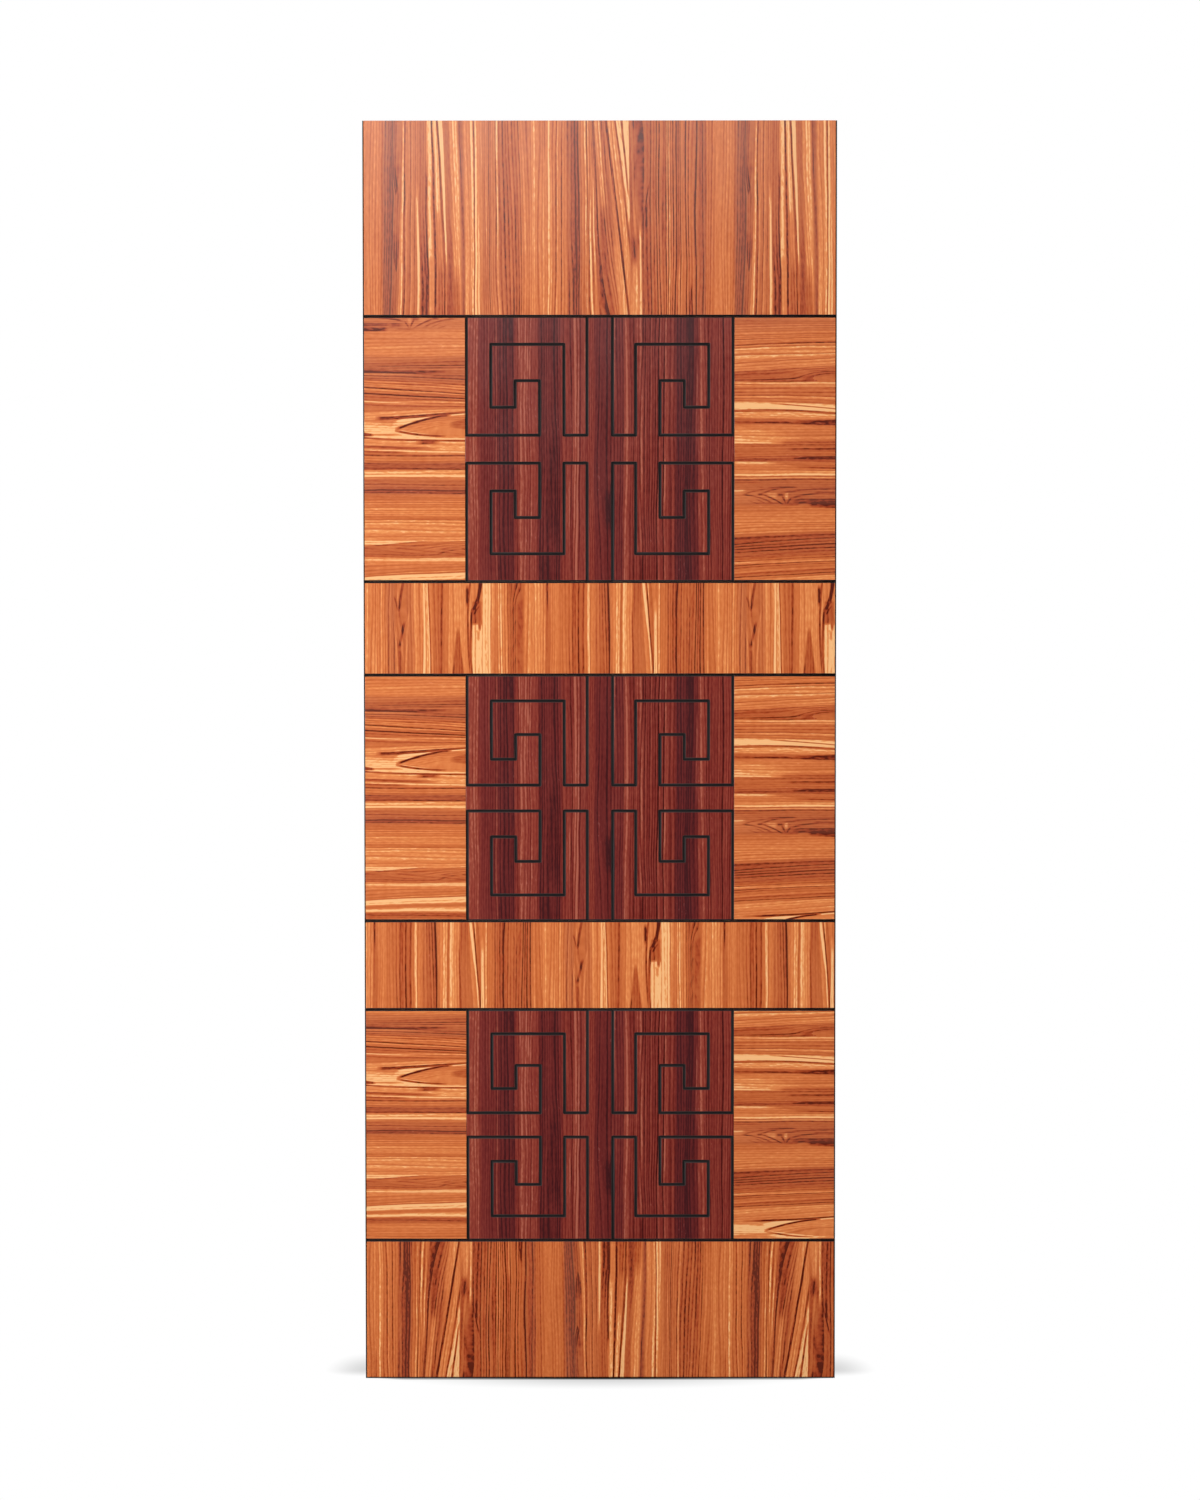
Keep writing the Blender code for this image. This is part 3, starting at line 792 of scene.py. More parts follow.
GROUPS = {
    "grain": make_grain_group(),
    "streak": make_streak_group(),
    "arrows": make_arrow_group(),
    "flame": make_flame_group(),
    "finish": make_finish_group(),
}


# ---- Film materials --------------------------------------------------------------------------

BANDS_PER_RAMP = 15
BAND_EDGE = 2.0               # half of the blend between two bands, in millimetres
LAST_BAND = 40                # width of the last band, in millimetres
BOLDEST_LINES = 1.2           # strength of fine lines that a band's colour holds as 1
WIDER = 1.2                   # added to the width of every figure line, in millimetres
ARROW_TONES = (0.60, 0.06)    # part of an arrowhead over which it goes from light to dark
ARROW_COVER = 0.9             # how far the arrowheads hide what lies under them
WANDER_NOISE = (11.0, 5.0, 2.0)
WANDER = 5 * MM               # full width of the slow wander of the whole figure
STEEPEST_LEAN = 0.2           # most that a figure line leans from the length of the film
LEANS_APART = 5.0             # figure lines closer than this share a lean
LONG_LINE = 0.85              # share of the film's length from which a figure line has a lean
LEAN_OVERRUN = 10.0           # about how far such a line runs past the film, in millimetres
LEAN_FALLS = 30.0             # width over which the last lean falls to none
LEAST_LINES = 0.24            # strength of the fine lines in a band that asks for none
SOFT_BAND_TONE = 0.12         # tone that the fine grain's parts add
FIBRE_TONE = 0.25
HAIRLINE_TONE = -0.22
CAST_MIX = 0.5                # share of the cast colour in a figure that is turned towards it
CAST_COVER = 0.8              # how far the most mauve band is turned
FOOT_SHADE_FULL = 0.3            # share of the reach of the painted shade at the foot that is fully dark


def band_stops(bands, start, end):
    """Ramp stops for some neighbouring bands: a flat stretch for each, blended at its edges."""
    stops = []
    for number, (place, tone, lines, mauve) in enumerate(bands):
        next_place = bands[number + 1][0] if number + 1 < len(bands) else end
        first = max(place + BAND_EDGE, start)
        last = max(next_place - BAND_EDGE, first)
        held_lines = min(lines, BOLDEST_LINES) / BOLDEST_LINES
        for edge in (first, last):
            stops.append(((edge - start) / (end - start), (tone, held_lines, mauve)))
    return stops


def lay_bands(graph, across, bands):
    """Tone, line strength and mauve of the bands, as a colour."""
    result = None
    for first in range(0, len(bands) - 1, BANDS_PER_RAMP):
        chosen = bands[first:first + BANDS_PER_RAMP]
        start = chosen[0][0]
        after = first + BANDS_PER_RAMP
        end = bands[after][0] if after < len(bands) else bands[-1][0] + LAST_BAND
        colour = graph.ramp(graph.remap(across, start, end), band_stops(chosen, start, end))
        if result is None:
            result = colour
        else:
            result = graph.mix_colour(graph.math("GREATER_THAN", across, start), result, colour)
    return result


def fade_lengths(line, length):
    """How far a figure line takes to fade in and out: hardly at all where it runs off the film."""
    start, end = line["start"][1], line["end"][1]
    reach = min(FADE_SHARE * (end - start), line["fade"])
    return CLEAN_END if start <= 0 else reach, CLEAN_END if end >= length else reach


def lay_streaks(graph, tone, across, along, pattern):
    """Each figure line over the tone so far, in order."""
    for line in pattern["streaks"]:
        lean = line["end"][0] - line["start"][0]
        fade_in, fade_out = fade_lengths(line, pattern["length"])
        mask = graph.place(
            GROUPS["streak"], across=across, along=along,
            centre=line["start"][0], slant=lean + 4 * line["bulge"], curl=-4 * line["bulge"],
            start=line["start"][1], end=line["end"][1], fade_in=fade_in, fade_out=fade_out,
            half_width=(line["width"] + WIDER) / 2,
            widening=(line["end_width"] - line["width"]) / 2, softness=line["soft"],
        )["Mask"]
        tone = graph.mix(mask, tone, line["tone"])
    return tone


def place_figure(graph, kind, across, along, figure, sizes):
    """A group of arrowheads or a flame at its tip, with these of its sizes."""
    return graph.place(
        GROUPS[kind], across=across, along=along,
        tip_across=figure["tip"][0], tip_along=figure["tip"][1],
        direction=-1.0 if figure["points_down"] else 1.0,
        **{size: figure[size] for size in sizes},
    )


def lay_arrows(graph, tone, across, along, figures):
    """Each set of nested arrowheads over the tone so far."""
    sizes = ("half_width", "steepness", "pitch", "reach")
    for figure in figures:
        heads = place_figure(graph, "arrows", across, along, figure, sizes)
        dark_edge = graph.between(heads["Ring"], *ARROW_TONES)
        ring_tone = graph.mix(dark_edge, figure["light"], figure["dark"])
        tone = graph.mix(graph.math("MULTIPLY", heads["Mask"], ARROW_COVER), tone, ring_tone)
    return tone


def push_aside(graph, flowing, across, along, flames):
    """The grain's place once each flame has pushed it aside."""
    sizes = ("half_width", "taper", "push")
    for figure in flames:
        push = place_figure(graph, "flame", across, along, figure, sizes)["Push"]
        flowing = graph.math("ADD", flowing, push)
    return flowing


def film_coordinates(graph, pattern):
    """Along the film in metres, then across and along it in millimetres.

    The place across has the print's repeat and a slight wander in it.
    """
    film = graph.add("ShaderNodeUVMap", uv_map="film").outputs["UV"]
    place = graph.add("ShaderNodeSeparateXYZ", {0: film}).outputs
    across, along = place["X"], place["Y"]
    strayed = graph.sway(across, graph.noise(across, along, *WANDER_NOISE), WANDER)
    start, repeat = pattern["start"] * MM, pattern["repeat"] * MM
    wrapped = graph.math("WRAP", strayed, start + repeat, start)
    return along, graph.math("MULTIPLY", wrapped, 1 / MM), graph.math("MULTIPLY", along, 1 / MM)


def figure_leans(pattern):
    """How far the grain leans at some places across the film, from the long figure lines."""
    length = pattern["length"]
    leans = [(pattern["start"], 0.0)]
    long_lines = [
        ((line["start"][0] + line["end"][0]) / 2, line["end"][0] - line["start"][0])
        for line in pattern["streaks"]
        if line["end"][1] - line["start"][1] > LONG_LINE * length
    ]
    for middle, shift in sorted(long_lines):
        if middle - leans[-1][0] > LEANS_APART:
            leans.append((middle, shift / (length + LEAN_OVERRUN)))
    return leans + [(leans[-1][0] + LEAN_FALLS, 0.0)]


def flow(graph, across, along, pattern):
    """The place across the film at mid-length of the grain that runs through each point."""
    leans = figure_leans(pattern)
    start, end = leans[0][0], leans[-1][0]
    stops = []
    for place, lean in leans:
        level = 0.5 + 0.5 * lean / STEEPEST_LEAN
        stops.append(((place - start) / (end - start), (level, level, level)))
    lean = graph.ramp(graph.remap(across, start, end), stops, "EASE")
    lean = graph.math("MULTIPLY_ADD", lean, 2 * STEEPEST_LEAN, -STEEPEST_LEAN)
    from_middle = graph.math("SUBTRACT", along, pattern["length"] / 2)
    return graph.math("SUBTRACT", across, graph.math("MULTIPLY", lean, from_middle))


def lay_grain(graph, tone, grain, strength):
    """The tone with its pinstripes, soft bands, fibres and hairlines."""
    tone = graph.sway(tone, grain["Lines"], strength)
    tone = graph.sway(tone, grain["Bands"], SOFT_BAND_TONE)
    tone = graph.sway(tone, grain["Fibres"], FIBRE_TONE)
    thin = graph.math("MULTIPLY", strength, HAIRLINE_TONE)
    return graph.math("ADD", tone, graph.math("MULTIPLY", grain["Hairlines"], thin))


def film_colour(graph, tone, palette, mauve, cast):
    """The colour of a tone, turned towards the film's cast where the print is mauve."""
    colour = graph.ramp(tone, palette)
    turned = graph.mix_colour(CAST_MIX, colour, (*cast, 1.0))
    return graph.mix_colour(graph.math("MULTIPLY", mauve, CAST_COVER), colour, turned)


def make_film(name, pattern, palette, cast, line_strength, shade=0.0, foot_shade_reach=0.0):
    """A printed wood film, from its bands, figure lines and fine grain.

    Shade is painted shade added to every tone: it darkens the bottom rail's copy of the rail print,
    where less light falls, and the top rail a little against the lamps' sheen; the last argument is how
    far painted shade darkens the film from its cut end, at the foot of the door.
    """
    material, graph, shader = plain_material(name, specular=FILM_SPECULAR)
    along, across_mm, along_mm = film_coordinates(graph, pattern)
    flowing = flow(graph, across_mm, along_mm, pattern)
    pushed = push_aside(graph, flowing, across_mm, along_mm, pattern["flames"])
    across = graph.math("MULTIPLY", pushed, MM)
    bands = graph.add("ShaderNodeSeparateColor", {0: lay_bands(graph, flowing, pattern["bands"])})
    tone, bold, mauve = bands.outputs
    tone = lay_streaks(graph, tone, across_mm, along_mm, pattern)
    tone = lay_arrows(graph, tone, across_mm, along_mm, pattern["arrows"])
    grain = graph.place(GROUPS["grain"], across=across, along=along)
    strength = graph.math("MULTIPLY_ADD", bold, line_strength, line_strength * LEAST_LINES)
    tone = lay_grain(graph, tone, grain, strength)
    contrast = pattern["contrast"]
    tone = graph.math("MULTIPLY_ADD", tone, contrast, 0.5 - 0.5 * contrast + shade, clamp=True)
    colour = film_colour(graph, tone, palette, mauve, cast)
    # Painted shade along the film's cut end, at the foot of the door.
    if foot_shade_reach:
        foot_shade_mask = graph.between(along_mm, foot_shade_reach, FOOT_SHADE_FULL * foot_shade_reach)
        colour = graph.mix_colour(foot_shade_mask, colour, (*FOOT_SHADE_COLOUR, 1.0))
    graph.feed(shader.inputs["Base Color"], colour)
    finish = graph.place(
        GROUPS["finish"], across=across, along=along, lines=grain["Lines"],
        fibres=grain["Fibres"], base_roughness=FILM_ROUGHNESS,
    )
    graph.feed(shader.inputs["Roughness"], finish["Roughness"])
    graph.relief(shader, finish["Height"], *FILM_RELIEF)
    return material


# ---- Other materials -------------------------------------------------------------------------

MATT_SPECULAR = 0.15          # of the paint and the edge banding
PAINT_NOISE = 260.0
PAINT_COLOURS = ((0.25, (0.0042, 0.0037, 0.0037)), (0.75, (0.0095, 0.0082, 0.0080)))
PAINT_ROUGHNESS = (0.55, 0.70)
PAINT_RELIEF = (0.3, 0.05 * MM)       # strength and height
PAINT_DARKENS = (0.1 * MM, 1.0 * MM)    # depths over which the paint goes from its lighter colour near the face to full black
BANDING_NOISE = (40.0, 3.0, (8.0, 8.0, 0.25))     # scale, detail and squash along each axis
BANDING_COLOURS = ((0.3, (0.007, 0.0032, 0.0022)), (0.7, (0.022, 0.0100, 0.0065)))
BANDING_ROUGHNESS = (0.50, 0.64)
BANDING_RELIEF = (0.3, 0.06 * MM)
BOARD_FLECKS = (420.0, 3.0)   # scale and detail
BOARD_CLOUD = 30.0
BOARD_COLOURS = ((0.32, (0.20, 0.11, 0.055)), (0.68, (0.42, 0.27, 0.15)))
CLOUD_COLOUR = (0.24, 0.14, 0.075)
CLOUD_COVER = 0.35
BOARD_RELIEF = (0.4, 0.1 * MM)
BACK_TONE = (0.55, 0.22)      # spread of the back film's bands, and the tone of its darkest
BACK_LINES = 0.30
BACK_FIBRES = 0.10
BACK_HAIRLINES = -0.16
BACK_FILM_DEPTH = 0.3 * MM    # how far round the board's back edges the film reaches
SAWN_ROUGHNESS, BACK_ROUGHNESS = 0.68, 0.42
FLECK_ROUGHNESS = 0.2


def plain_material(name, roughness=0.5, specular=0.5):
    """A material with its graph and its shader, ready for a pattern."""
    material = bpy.data.materials.new(name)
    material.use_nodes = True
    shader = material.node_tree.nodes["Principled BSDF"]
    shader.inputs["Roughness"].default_value = roughness
    shader.inputs["Specular IOR Level"].default_value = specular
    return material, Graph(material.node_tree), shader


def make_groove_paint():
    """Black brush paint in the routed grooves, a little uneven, lighter within about a millimetre of the
    face and full black deeper in.
    """
    material, graph, shader = plain_material("black groove paint", specular=MATT_SPECULAR)
    brushed = graph.object_noise(PAINT_NOISE)
    depth = graph.math("SUBTRACT", graph.coordinates("Object")["Y"], CAD_BOX[0].y)
    deep_share = graph.between(depth, *PAINT_DARKENS)
    full = graph.ramp(brushed, PAINT_COLOURS)
    colour = graph.mix_colour(deep_share, (*PAINT_NEAR_FACE, 1.0), full)
    graph.feed(shader.inputs["Base Color"], colour)
    rough = graph.remap(brushed, *NOISE_RANGE, *PAINT_ROUGHNESS)
    graph.feed(shader.inputs["Roughness"], rough)
    graph.relief(shader, brushed, *PAINT_RELIEF)
    return material


def make_edge_band():
    """Dark edge banding with faint lengthwise grain."""
    material, graph, shader = plain_material("dark edge banding", roughness=0.45, specular=MATT_SPECULAR)
    grain = graph.object_noise(*BANDING_NOISE)
    graph.feed(shader.inputs["Base Color"], graph.ramp(grain, BANDING_COLOURS))
    rough = graph.remap(grain, *NOISE_RANGE, *BANDING_ROUGHNESS)
    graph.feed(shader.inputs["Roughness"], rough)
    graph.relief(shader, grain, *BANDING_RELIEF)
    return material


def back_film(graph, grain):
    """The plain light film of the back: fine grain and no figure."""
    tone = graph.math("MULTIPLY_ADD", grain["Bands"], *BACK_TONE)
    tone = graph.sway(tone, grain["Lines"], BACK_LINES)
    tone = graph.sway(tone, grain["Fibres"], BACK_FIBRES)
    tone = graph.math("MULTIPLY_ADD", grain["Hairlines"], BACK_HAIRLINES, tone, clamp=True)
    return graph.ramp(tone, LIGHT_FILM)


def make_board():
    """Extruded composite on the ends and edges, and a plain light film on the back."""
    material, graph, shader = plain_material("composite board", roughness=0.6)
    flecks = graph.object_noise(*BOARD_FLECKS)
    cloud = graph.math("MULTIPLY", graph.object_noise(BOARD_CLOUD), CLOUD_COVER)
    composite = graph.ramp(flecks, BOARD_COLOURS)
    composite = graph.mix_colour(cloud, composite, (*CLOUD_COLOUR, 1.0))
    place = graph.coordinates("Object")
    grain = graph.place(GROUPS["grain"], across=place["X"], along=place["Z"])
    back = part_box("leaf_board")[1].y - BACK_FILM_DEPTH
    on_back = graph.math("GREATER_THAN", place["Y"], back)
    colour = graph.mix_colour(on_back, composite, back_film(graph, grain))
    graph.feed(shader.inputs["Base Color"], colour)
    rough = graph.mix(on_back, SAWN_ROUGHNESS, BACK_ROUGHNESS)
    graph.feed(shader.inputs["Roughness"], graph.sway(rough, flecks, FLECK_ROUGHNESS))
    graph.relief(shader, graph.mix(on_back, flecks, grain["Fibres"]), *BOARD_RELIEF)
    return material


# ---- Routed facings --------------------------------------------------------------------------

def add_object(name, data):
    """An object in the scene's own collection."""
    item = bpy.data.objects.new(name, data)
    bpy.context.scene.collection.objects.link(item)
    return item


def new_geometry_tree(name, inputs):
    """A Geometry Nodes tree that routs a facing, with these named inputs after it."""
    tree = bpy.data.node_groups.new(name, "GeometryNodeTree")
    tree.interface.new_socket("Facing", in_out="INPUT", socket_type="NodeSocketGeometry")
    for label, kind in inputs:
        tree.interface.new_socket(label, in_out="INPUT", socket_type=f"NodeSocket{kind}")
    tree.interface.new_socket("Routed Facing", in_out="OUTPUT", socket_type="NodeSocketGeometry")
    return tree


def moved(graph, geometry, axis, amount, rotation=(0.0, 0.0, 0.0)):
    """Geometry that is turned, then moved along one axis."""
    offset = graph.add("ShaderNodeCombineXYZ", {axis: amount}).outputs[0]
    inputs = {"Geometry": geometry, "Translation": offset, "Rotation": rotation}
    return graph.add("GeometryNodeTransform", inputs).outputs["Geometry"]


def cutter_section(graph, floor, top_width, height, lift):
    """The cutter's section as a closed curve, with its top at the right height over the face."""
    section = graph.add("GeometryNodeCurvePrimitiveQuadrilateral", mode="TRAPEZOID")
    sizes = {"Bottom Width": top_width, "Top Width": floor, "Offset": 0.0, "Height": height}
    for name, value in sizes.items():
        graph.feed(section.inputs[name], value)
    return moved(graph, section.outputs["Curve"], 1, graph.math("MULTIPLY", lift, -1.0))


def cutter_runs(graph, lines, section):
    """The cutter swept along each straight line, with flat ends."""
    split = graph.add("GeometryNodeSplitEdges", {"Mesh": lines}).outputs["Mesh"]
    paths = graph.add("GeometryNodeMeshToCurve", {"Mesh": split}).outputs["Curve"]
    level = graph.add("GeometryNodeSetCurveNormal", {"Curve": paths}, mode="Z_UP").outputs["Curve"]
    inputs = {"Curve": level, "Profile Curve": section, "Fill Caps": True}
    return graph.add("GeometryNodeCurveToMesh", inputs).outputs["Mesh"]


def cutter_turns(graph, lines, floor, top_width, height, depth):
    """The bit itself at each turn and end of the lines."""
    bit = graph.add("GeometryNodeMeshCone", {"Vertices": BIT_SIDES, "Depth": height})
    graph.feed(bit.inputs["Radius Bottom"], graph.math("MULTIPLY", floor, 0.5))
    graph.feed(bit.inputs["Radius Top"], graph.math("MULTIPLY", top_width, 0.5))
    lowered = moved(graph, bit.outputs["Mesh"], 2, graph.math("MULTIPLY", depth, -1.0))
    inputs = {"Points": lines, "Instance": lowered}
    turns = graph.add("GeometryNodeInstanceOnPoints", inputs).outputs["Instances"]
    return graph.add("GeometryNodeRealizeInstances", {"Geometry": turns}).outputs["Geometry"]


def router_pass(graph, lines, floor, width, depth, top):
    """A cutter along the lines: a sloping-sided run for each, and the bit itself at each turn."""
    half = graph.math("MULTIPLY", graph.math("SUBTRACT", width, floor), 0.5)
    slope = graph.math("DIVIDE", half, depth)
    top_width = graph.math("MULTIPLY_ADD", graph.math("MULTIPLY", slope, 2.0), top, width)
    height = graph.math("ADD", depth, top)
    lift = graph.math("MULTIPLY", graph.math("SUBTRACT", top, depth), 0.5)
    section = cutter_section(graph, floor, top_width, height, lift)
    return (
        cutter_runs(graph, lines, section),
        cutter_turns(graph, lines, floor, top_width, height, depth),
    )


def painted_cutters(graph, given):
    """The groove's cutters and those that ease its lips, in the colour of the paint."""
    lines = graph.add("GeometryNodeObjectInfo", {"Object": given["Groove Lines"]}).outputs["Geometry"]
    width, easing = given["Groove Width"], given["Lip Easing"]
    floor, depth, top = given["Groove Floor"], given["Groove Depth"], given["Cutter Top"]
    groove = router_pass(graph, lines, floor, width, depth, top)
    eased_width = graph.math("MULTIPLY_ADD", easing, 2.0, width)
    lip_floor = graph.math("MULTIPLY_ADD", easing, -LIP_SLANT, width)
    lip_top = graph.math("MULTIPLY", top, 0.5)
    lips = router_pass(graph, lines, lip_floor, eased_width, given["Lip Depth"], lip_top)
    cutters = graph.add("GeometryNodeJoinGeometry")
    for part in (*groove, *lips):
        graph.feed(cutters.inputs["Geometry"], part)
    inputs = {"Geometry": cutters.outputs["Geometry"], "Material": given["Paint"]}
    painted = graph.add("GeometryNodeSetMaterial", inputs).outputs["Geometry"]
    return moved(graph, painted, 1, given["Face Plane"], (math.pi / 2, 0.0, 0.0))


def make_routing_tree():
    """Routs painted grooves with eased lips along lines into a facing, and lays its film."""
    tree = new_geometry_tree("routed grooves", (
        ("Groove Lines", "Object"), ("Groove Width", "Float"), ("Groove Floor", "Float"),
        ("Groove Depth", "Float"), ("Lip Easing", "Float"), ("Lip Depth", "Float"),
        ("Cutter Top", "Float"), ("Face Plane", "Float"), ("Paint", "Material"),
        ("Film", "Material"),
    ))
    graph = Graph(tree)
    given, result = graph.ends()
    routed = graph.add("GeometryNodeMeshBoolean", operation="DIFFERENCE", solver="EXACT")
    graph.feed(routed.inputs["Mesh 1"], given["Facing"])
    graph.feed(routed.inputs["Mesh 2"], painted_cutters(graph, given))
    graph.feed(routed.inputs["Self Intersection"], True)
    whole = graph.add("GeometryNodeRealizeInstances", {"Geometry": routed.outputs["Mesh"]})
    is_painted = graph.add("GeometryNodeMaterialSelection", {"Material": given["Paint"]})
    inputs = {0: is_painted.outputs["Selection"]}
    unpainted = graph.add("FunctionNodeBooleanMath", inputs, operation="NOT").outputs[0]
    inputs = {
        "Geometry": whole.outputs["Geometry"], "Selection": unpainted, "Material": given["Film"],
    }
    filmed = graph.add("GeometryNodeSetMaterial", inputs).outputs["Geometry"]
    graph.feed(result["Routed Facing"], filmed)
    return tree


def groove_lines(name, paths):
    """The grooves' centre lines, flat, with the height along Y, as the routing tree takes them."""
    mesh = bpy.data.meshes.new(name)
    points, edges = [], []
    for path in paths:
        edges += [(len(points) + step, len(points) + step + 1) for step in range(len(path) - 1)]
        points += [(across, up, 0.0) for across, up in path]
    mesh.from_pydata(points, edges, [])
    return add_object(name, mesh)


def joint_heights():
    """The height of each joint groove: halfway across the seam between two rows."""
    joints = zip(LEFT_COLUMN, LEFT_COLUMN[1:])
    return [(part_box(above)[0].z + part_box(below)[1].z) / 2 for above, below in joints]


def joint_paths(low, high, joints):
    """The joint grooves that run along a facing's top or bottom edge."""
    near = [height for height in joints if low.z - GROOVE_WIDTH < height < high.z + GROOVE_WIDTH]
    return [[(low.x - OVERRUN, height), (high.x + OVERRUN, height)] for height in near]


def fret_paths(low, high):
    """The four mirrored fret grooves of a panel between two joint grooves."""
    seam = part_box("upper_left_panel")[0].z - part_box("upper_lock_rail")[1].z
    unit = (high.z - low.z + seam) / FRET_UNITS
    middle_x, middle_z = (low.x + high.x) / 2, (low.z + high.z) / 2
    top = high.z + seam / 2 - middle_z
    quarter = []
    for column, row in FRET_TURNS:
        run_out = OVERRUN if row == 0 else 0.0
        quarter.append((FRET_COLUMNS[column], top + run_out - FRET_ROWS[row] * unit))
    return [
        [(middle_x + side * across, middle_z + end * up) for across, up in quarter]
        for side in (-1, 1)
        for end in (-1, 1)
    ]


def blank_facing(name, low, high, film):
    """A plank with softly rounded arrises, before it is routed."""
    plank = bmesh.new()
    bmesh.ops.create_cube(plank, size=1.0)
    bmesh.ops.scale(plank, vec=high - low, verts=plank.verts)
    bmesh.ops.translate(plank, vec=(low + high) / 2, verts=plank.verts)
    bmesh.ops.bevel(
        plank, geom=plank.edges[:], offset=ARRIS, segments=ARRIS_STEPS, profile=0.5, affect="EDGES",
    )
    mesh = bpy.data.meshes.new(name)
    plank.to_mesh(mesh)
    plank.free()
    mesh.materials.append(film)
    return add_object(name, mesh)


def set_inputs(modifier, values):
    """Set a Geometry Nodes modifier's inputs by their names."""
    for item in modifier.node_group.interface.items_tree:
        if item.item_type == "SOCKET" and item.in_out == "INPUT" and item.name in values:
            modifier[item.identifier] = values[item.name]


def rout(facing, tree, lines, film, paint):
    """Run the routing tree on a facing and keep the result as its plain mesh."""
    modifier = facing.modifiers.new("routed grooves", "NODES")
    modifier.node_group = tree
    set_inputs(modifier, {
        "Groove Lines": lines, "Groove Width": GROOVE_WIDTH, "Groove Floor": GROOVE_FLOOR,
        "Groove Depth": GROOVE_DEPTH, "Lip Easing": LIP_EASING, "Lip Depth": LIP_DEPTH,
        "Cutter Top": CUTTER_TOP, "Face Plane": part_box("top_rail")[0].y,
        "Paint": paint, "Film": film,
    })
    evaluated = facing.evaluated_get(bpy.context.evaluated_depsgraph_get())
    mesh = bpy.data.meshes.new_from_object(evaluated)
    facing.modifiers.remove(modifier)
    mesh.name = facing.name
    facing.data = mesh
    bpy.data.objects.remove(lines)


# ---- Laying the film -------------------------------------------------------------------------

def lay_film(facing, across_of, along_of):
    """Film coordinates in metres on every corner, from its place on the leaf."""
    mesh = facing.data
    layer = mesh.uv_layers.new(name="film")
    for loop in mesh.loops:
        place = mesh.vertices[loop.vertex_index].co
        layer.data[loop.index].uv = (across_of(place), along_of(place))


def rail_film(node, shift, length, flipped=False):
    """Film laid upright on a rail: where across the film it starts, and how long a cut it is."""
    low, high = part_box(node)
    scale = length / (high.z - low.z)

    def along(place):
        return (place.z - low.z) * scale if flipped else (high.z - place.z) * scale

    return lambda place: place.x + shift, along


def side_panel_film(node, start):
    """Film laid crosswise on a side panel, cut from the same length for every row."""
    low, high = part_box(node)
    scale = PANEL_CUT / (high.z - low.z)
    return lambda place: start + (high.z - place.z) * scale, lambda place: high.x - place.x


def fretwork_film(node):
    """Dark film laid upright on a fretwork panel."""
    low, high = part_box(node)
    scale = PANEL_CUT / (high.z - low.z)
    return lambda place: place.x - low.x, lambda place: (high.z - place.z) * scale


def film_layout():
    """Each facing's print and the two functions that lay it."""
    rails = (
        ("top_rail", "rail", 0.0, RAIL_CUT),
        ("upper_lock_rail", "lock_rail", UPPER_LOCK_SHIFT, LOCK_RAIL_CUT),
        ("lower_lock_rail", "lock_rail", LOWER_LOCK_SHIFT, LOCK_RAIL_CUT),
        ("bottom_rail", "dark_rail", BOTTOM_SHIFT, RAIL_CUT, True),
    )
    layout = {node: (film, *rail_film(node, *cut)) for node, film, *cut in rails}
    for row in PANEL_ROWS:
        left, right, fretwork = (f"{row}_{place}_panel" for place in ("left", "right", "fretwork"))
        layout[left] = ("left_panel", *side_panel_film(left, LEFT_START + ROW_SHIFTS[row]))
        layout[right] = ("right_panel", *side_panel_film(right, RIGHT_START + ROW_SHIFTS[row]))
        layout[fretwork] = ("fretwork", *fretwork_film(fretwork))
    return layout


def make_facings(films, paint):
    """Every rail and panel facing, routed and filmed, in place of its plain solid."""
    tree = make_routing_tree()
    joints = joint_heights()
    for node, (print_name, across_of, along_of) in film_layout().items():
        low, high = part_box(node)
        paths = joint_paths(low, high, joints)
        if print_name == "fretwork":
            paths += fret_paths(low, high)
        facing = blank_facing(f"{node}_facing", low, high, films[print_name])
        rout(facing, tree, groove_lines(f"{node}_groove_lines", paths), films[print_name], paint)
        lay_film(facing, across_of, along_of)
        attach(facing, "root")
        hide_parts(node)


# ---- Floor -----------------------------------------------------------------------------------

FLOOR_Z = CAD_BOX[0].z
FACE_Y = CAD_BOX[0].y
MIDDLE_X = (CAD_BOX[0].x + CAD_BOX[1].x) / 2
FLOOR_REACH = 40.0
FLOOR_GAP = 0.5 * MM          # how far the floor lies below the foot
CONTACT_REACH = 0.014         # of the painted contact shadow under the foot of the door
CONTACT_SHARE = 0.70          # of the floor's white that this line takes away
CORNER_REACH = 0.07           # over which that line thins out towards the corners
CORNER_THINNING = 0.75        # share of its reach that it loses there
SIDE_SHARE = 0.15             # its reach past a side, as a share of that in front
SOFT_REACH = (0.40, 0.09)     # half width and depth of the painted soft shadow in front of the door
SOFT_SHARE = 0.32
CAST_REACH = (0.085, 0.15)    # past each side and backward, of the painted shadow behind the door
CAST_SHARE = 0.33
CAST_START = 0.045            # how far behind the leaf's middle that shadow is darkest
CAST_FORWARD = 2.6            # how many times as fast it fades towards the front
BOUNCE = (0.4, 0.4, 0.4, 1.0)     # the floor's colour where it lights the door, and in a gloss
GLOSS_BOUNCE = (0.05, 0.05, 0.05, 1.0)
WHITE = (1.0, 1.0, 1.0, 1.0)
BLACK = (0.0, 0.0, 0.0, 1.0)


def distance(graph, first, second, first_scale, second_scale):
    """How far off a point is, with each direction on its own scale."""
    first = graph.math("DIVIDE", first, first_scale)
    second = graph.math("DIVIDE", second, second_scale)
    squares = graph.math("MULTIPLY_ADD", first, first, graph.math("MULTIPLY", second, second))
    return graph.math("SQRT", squares)


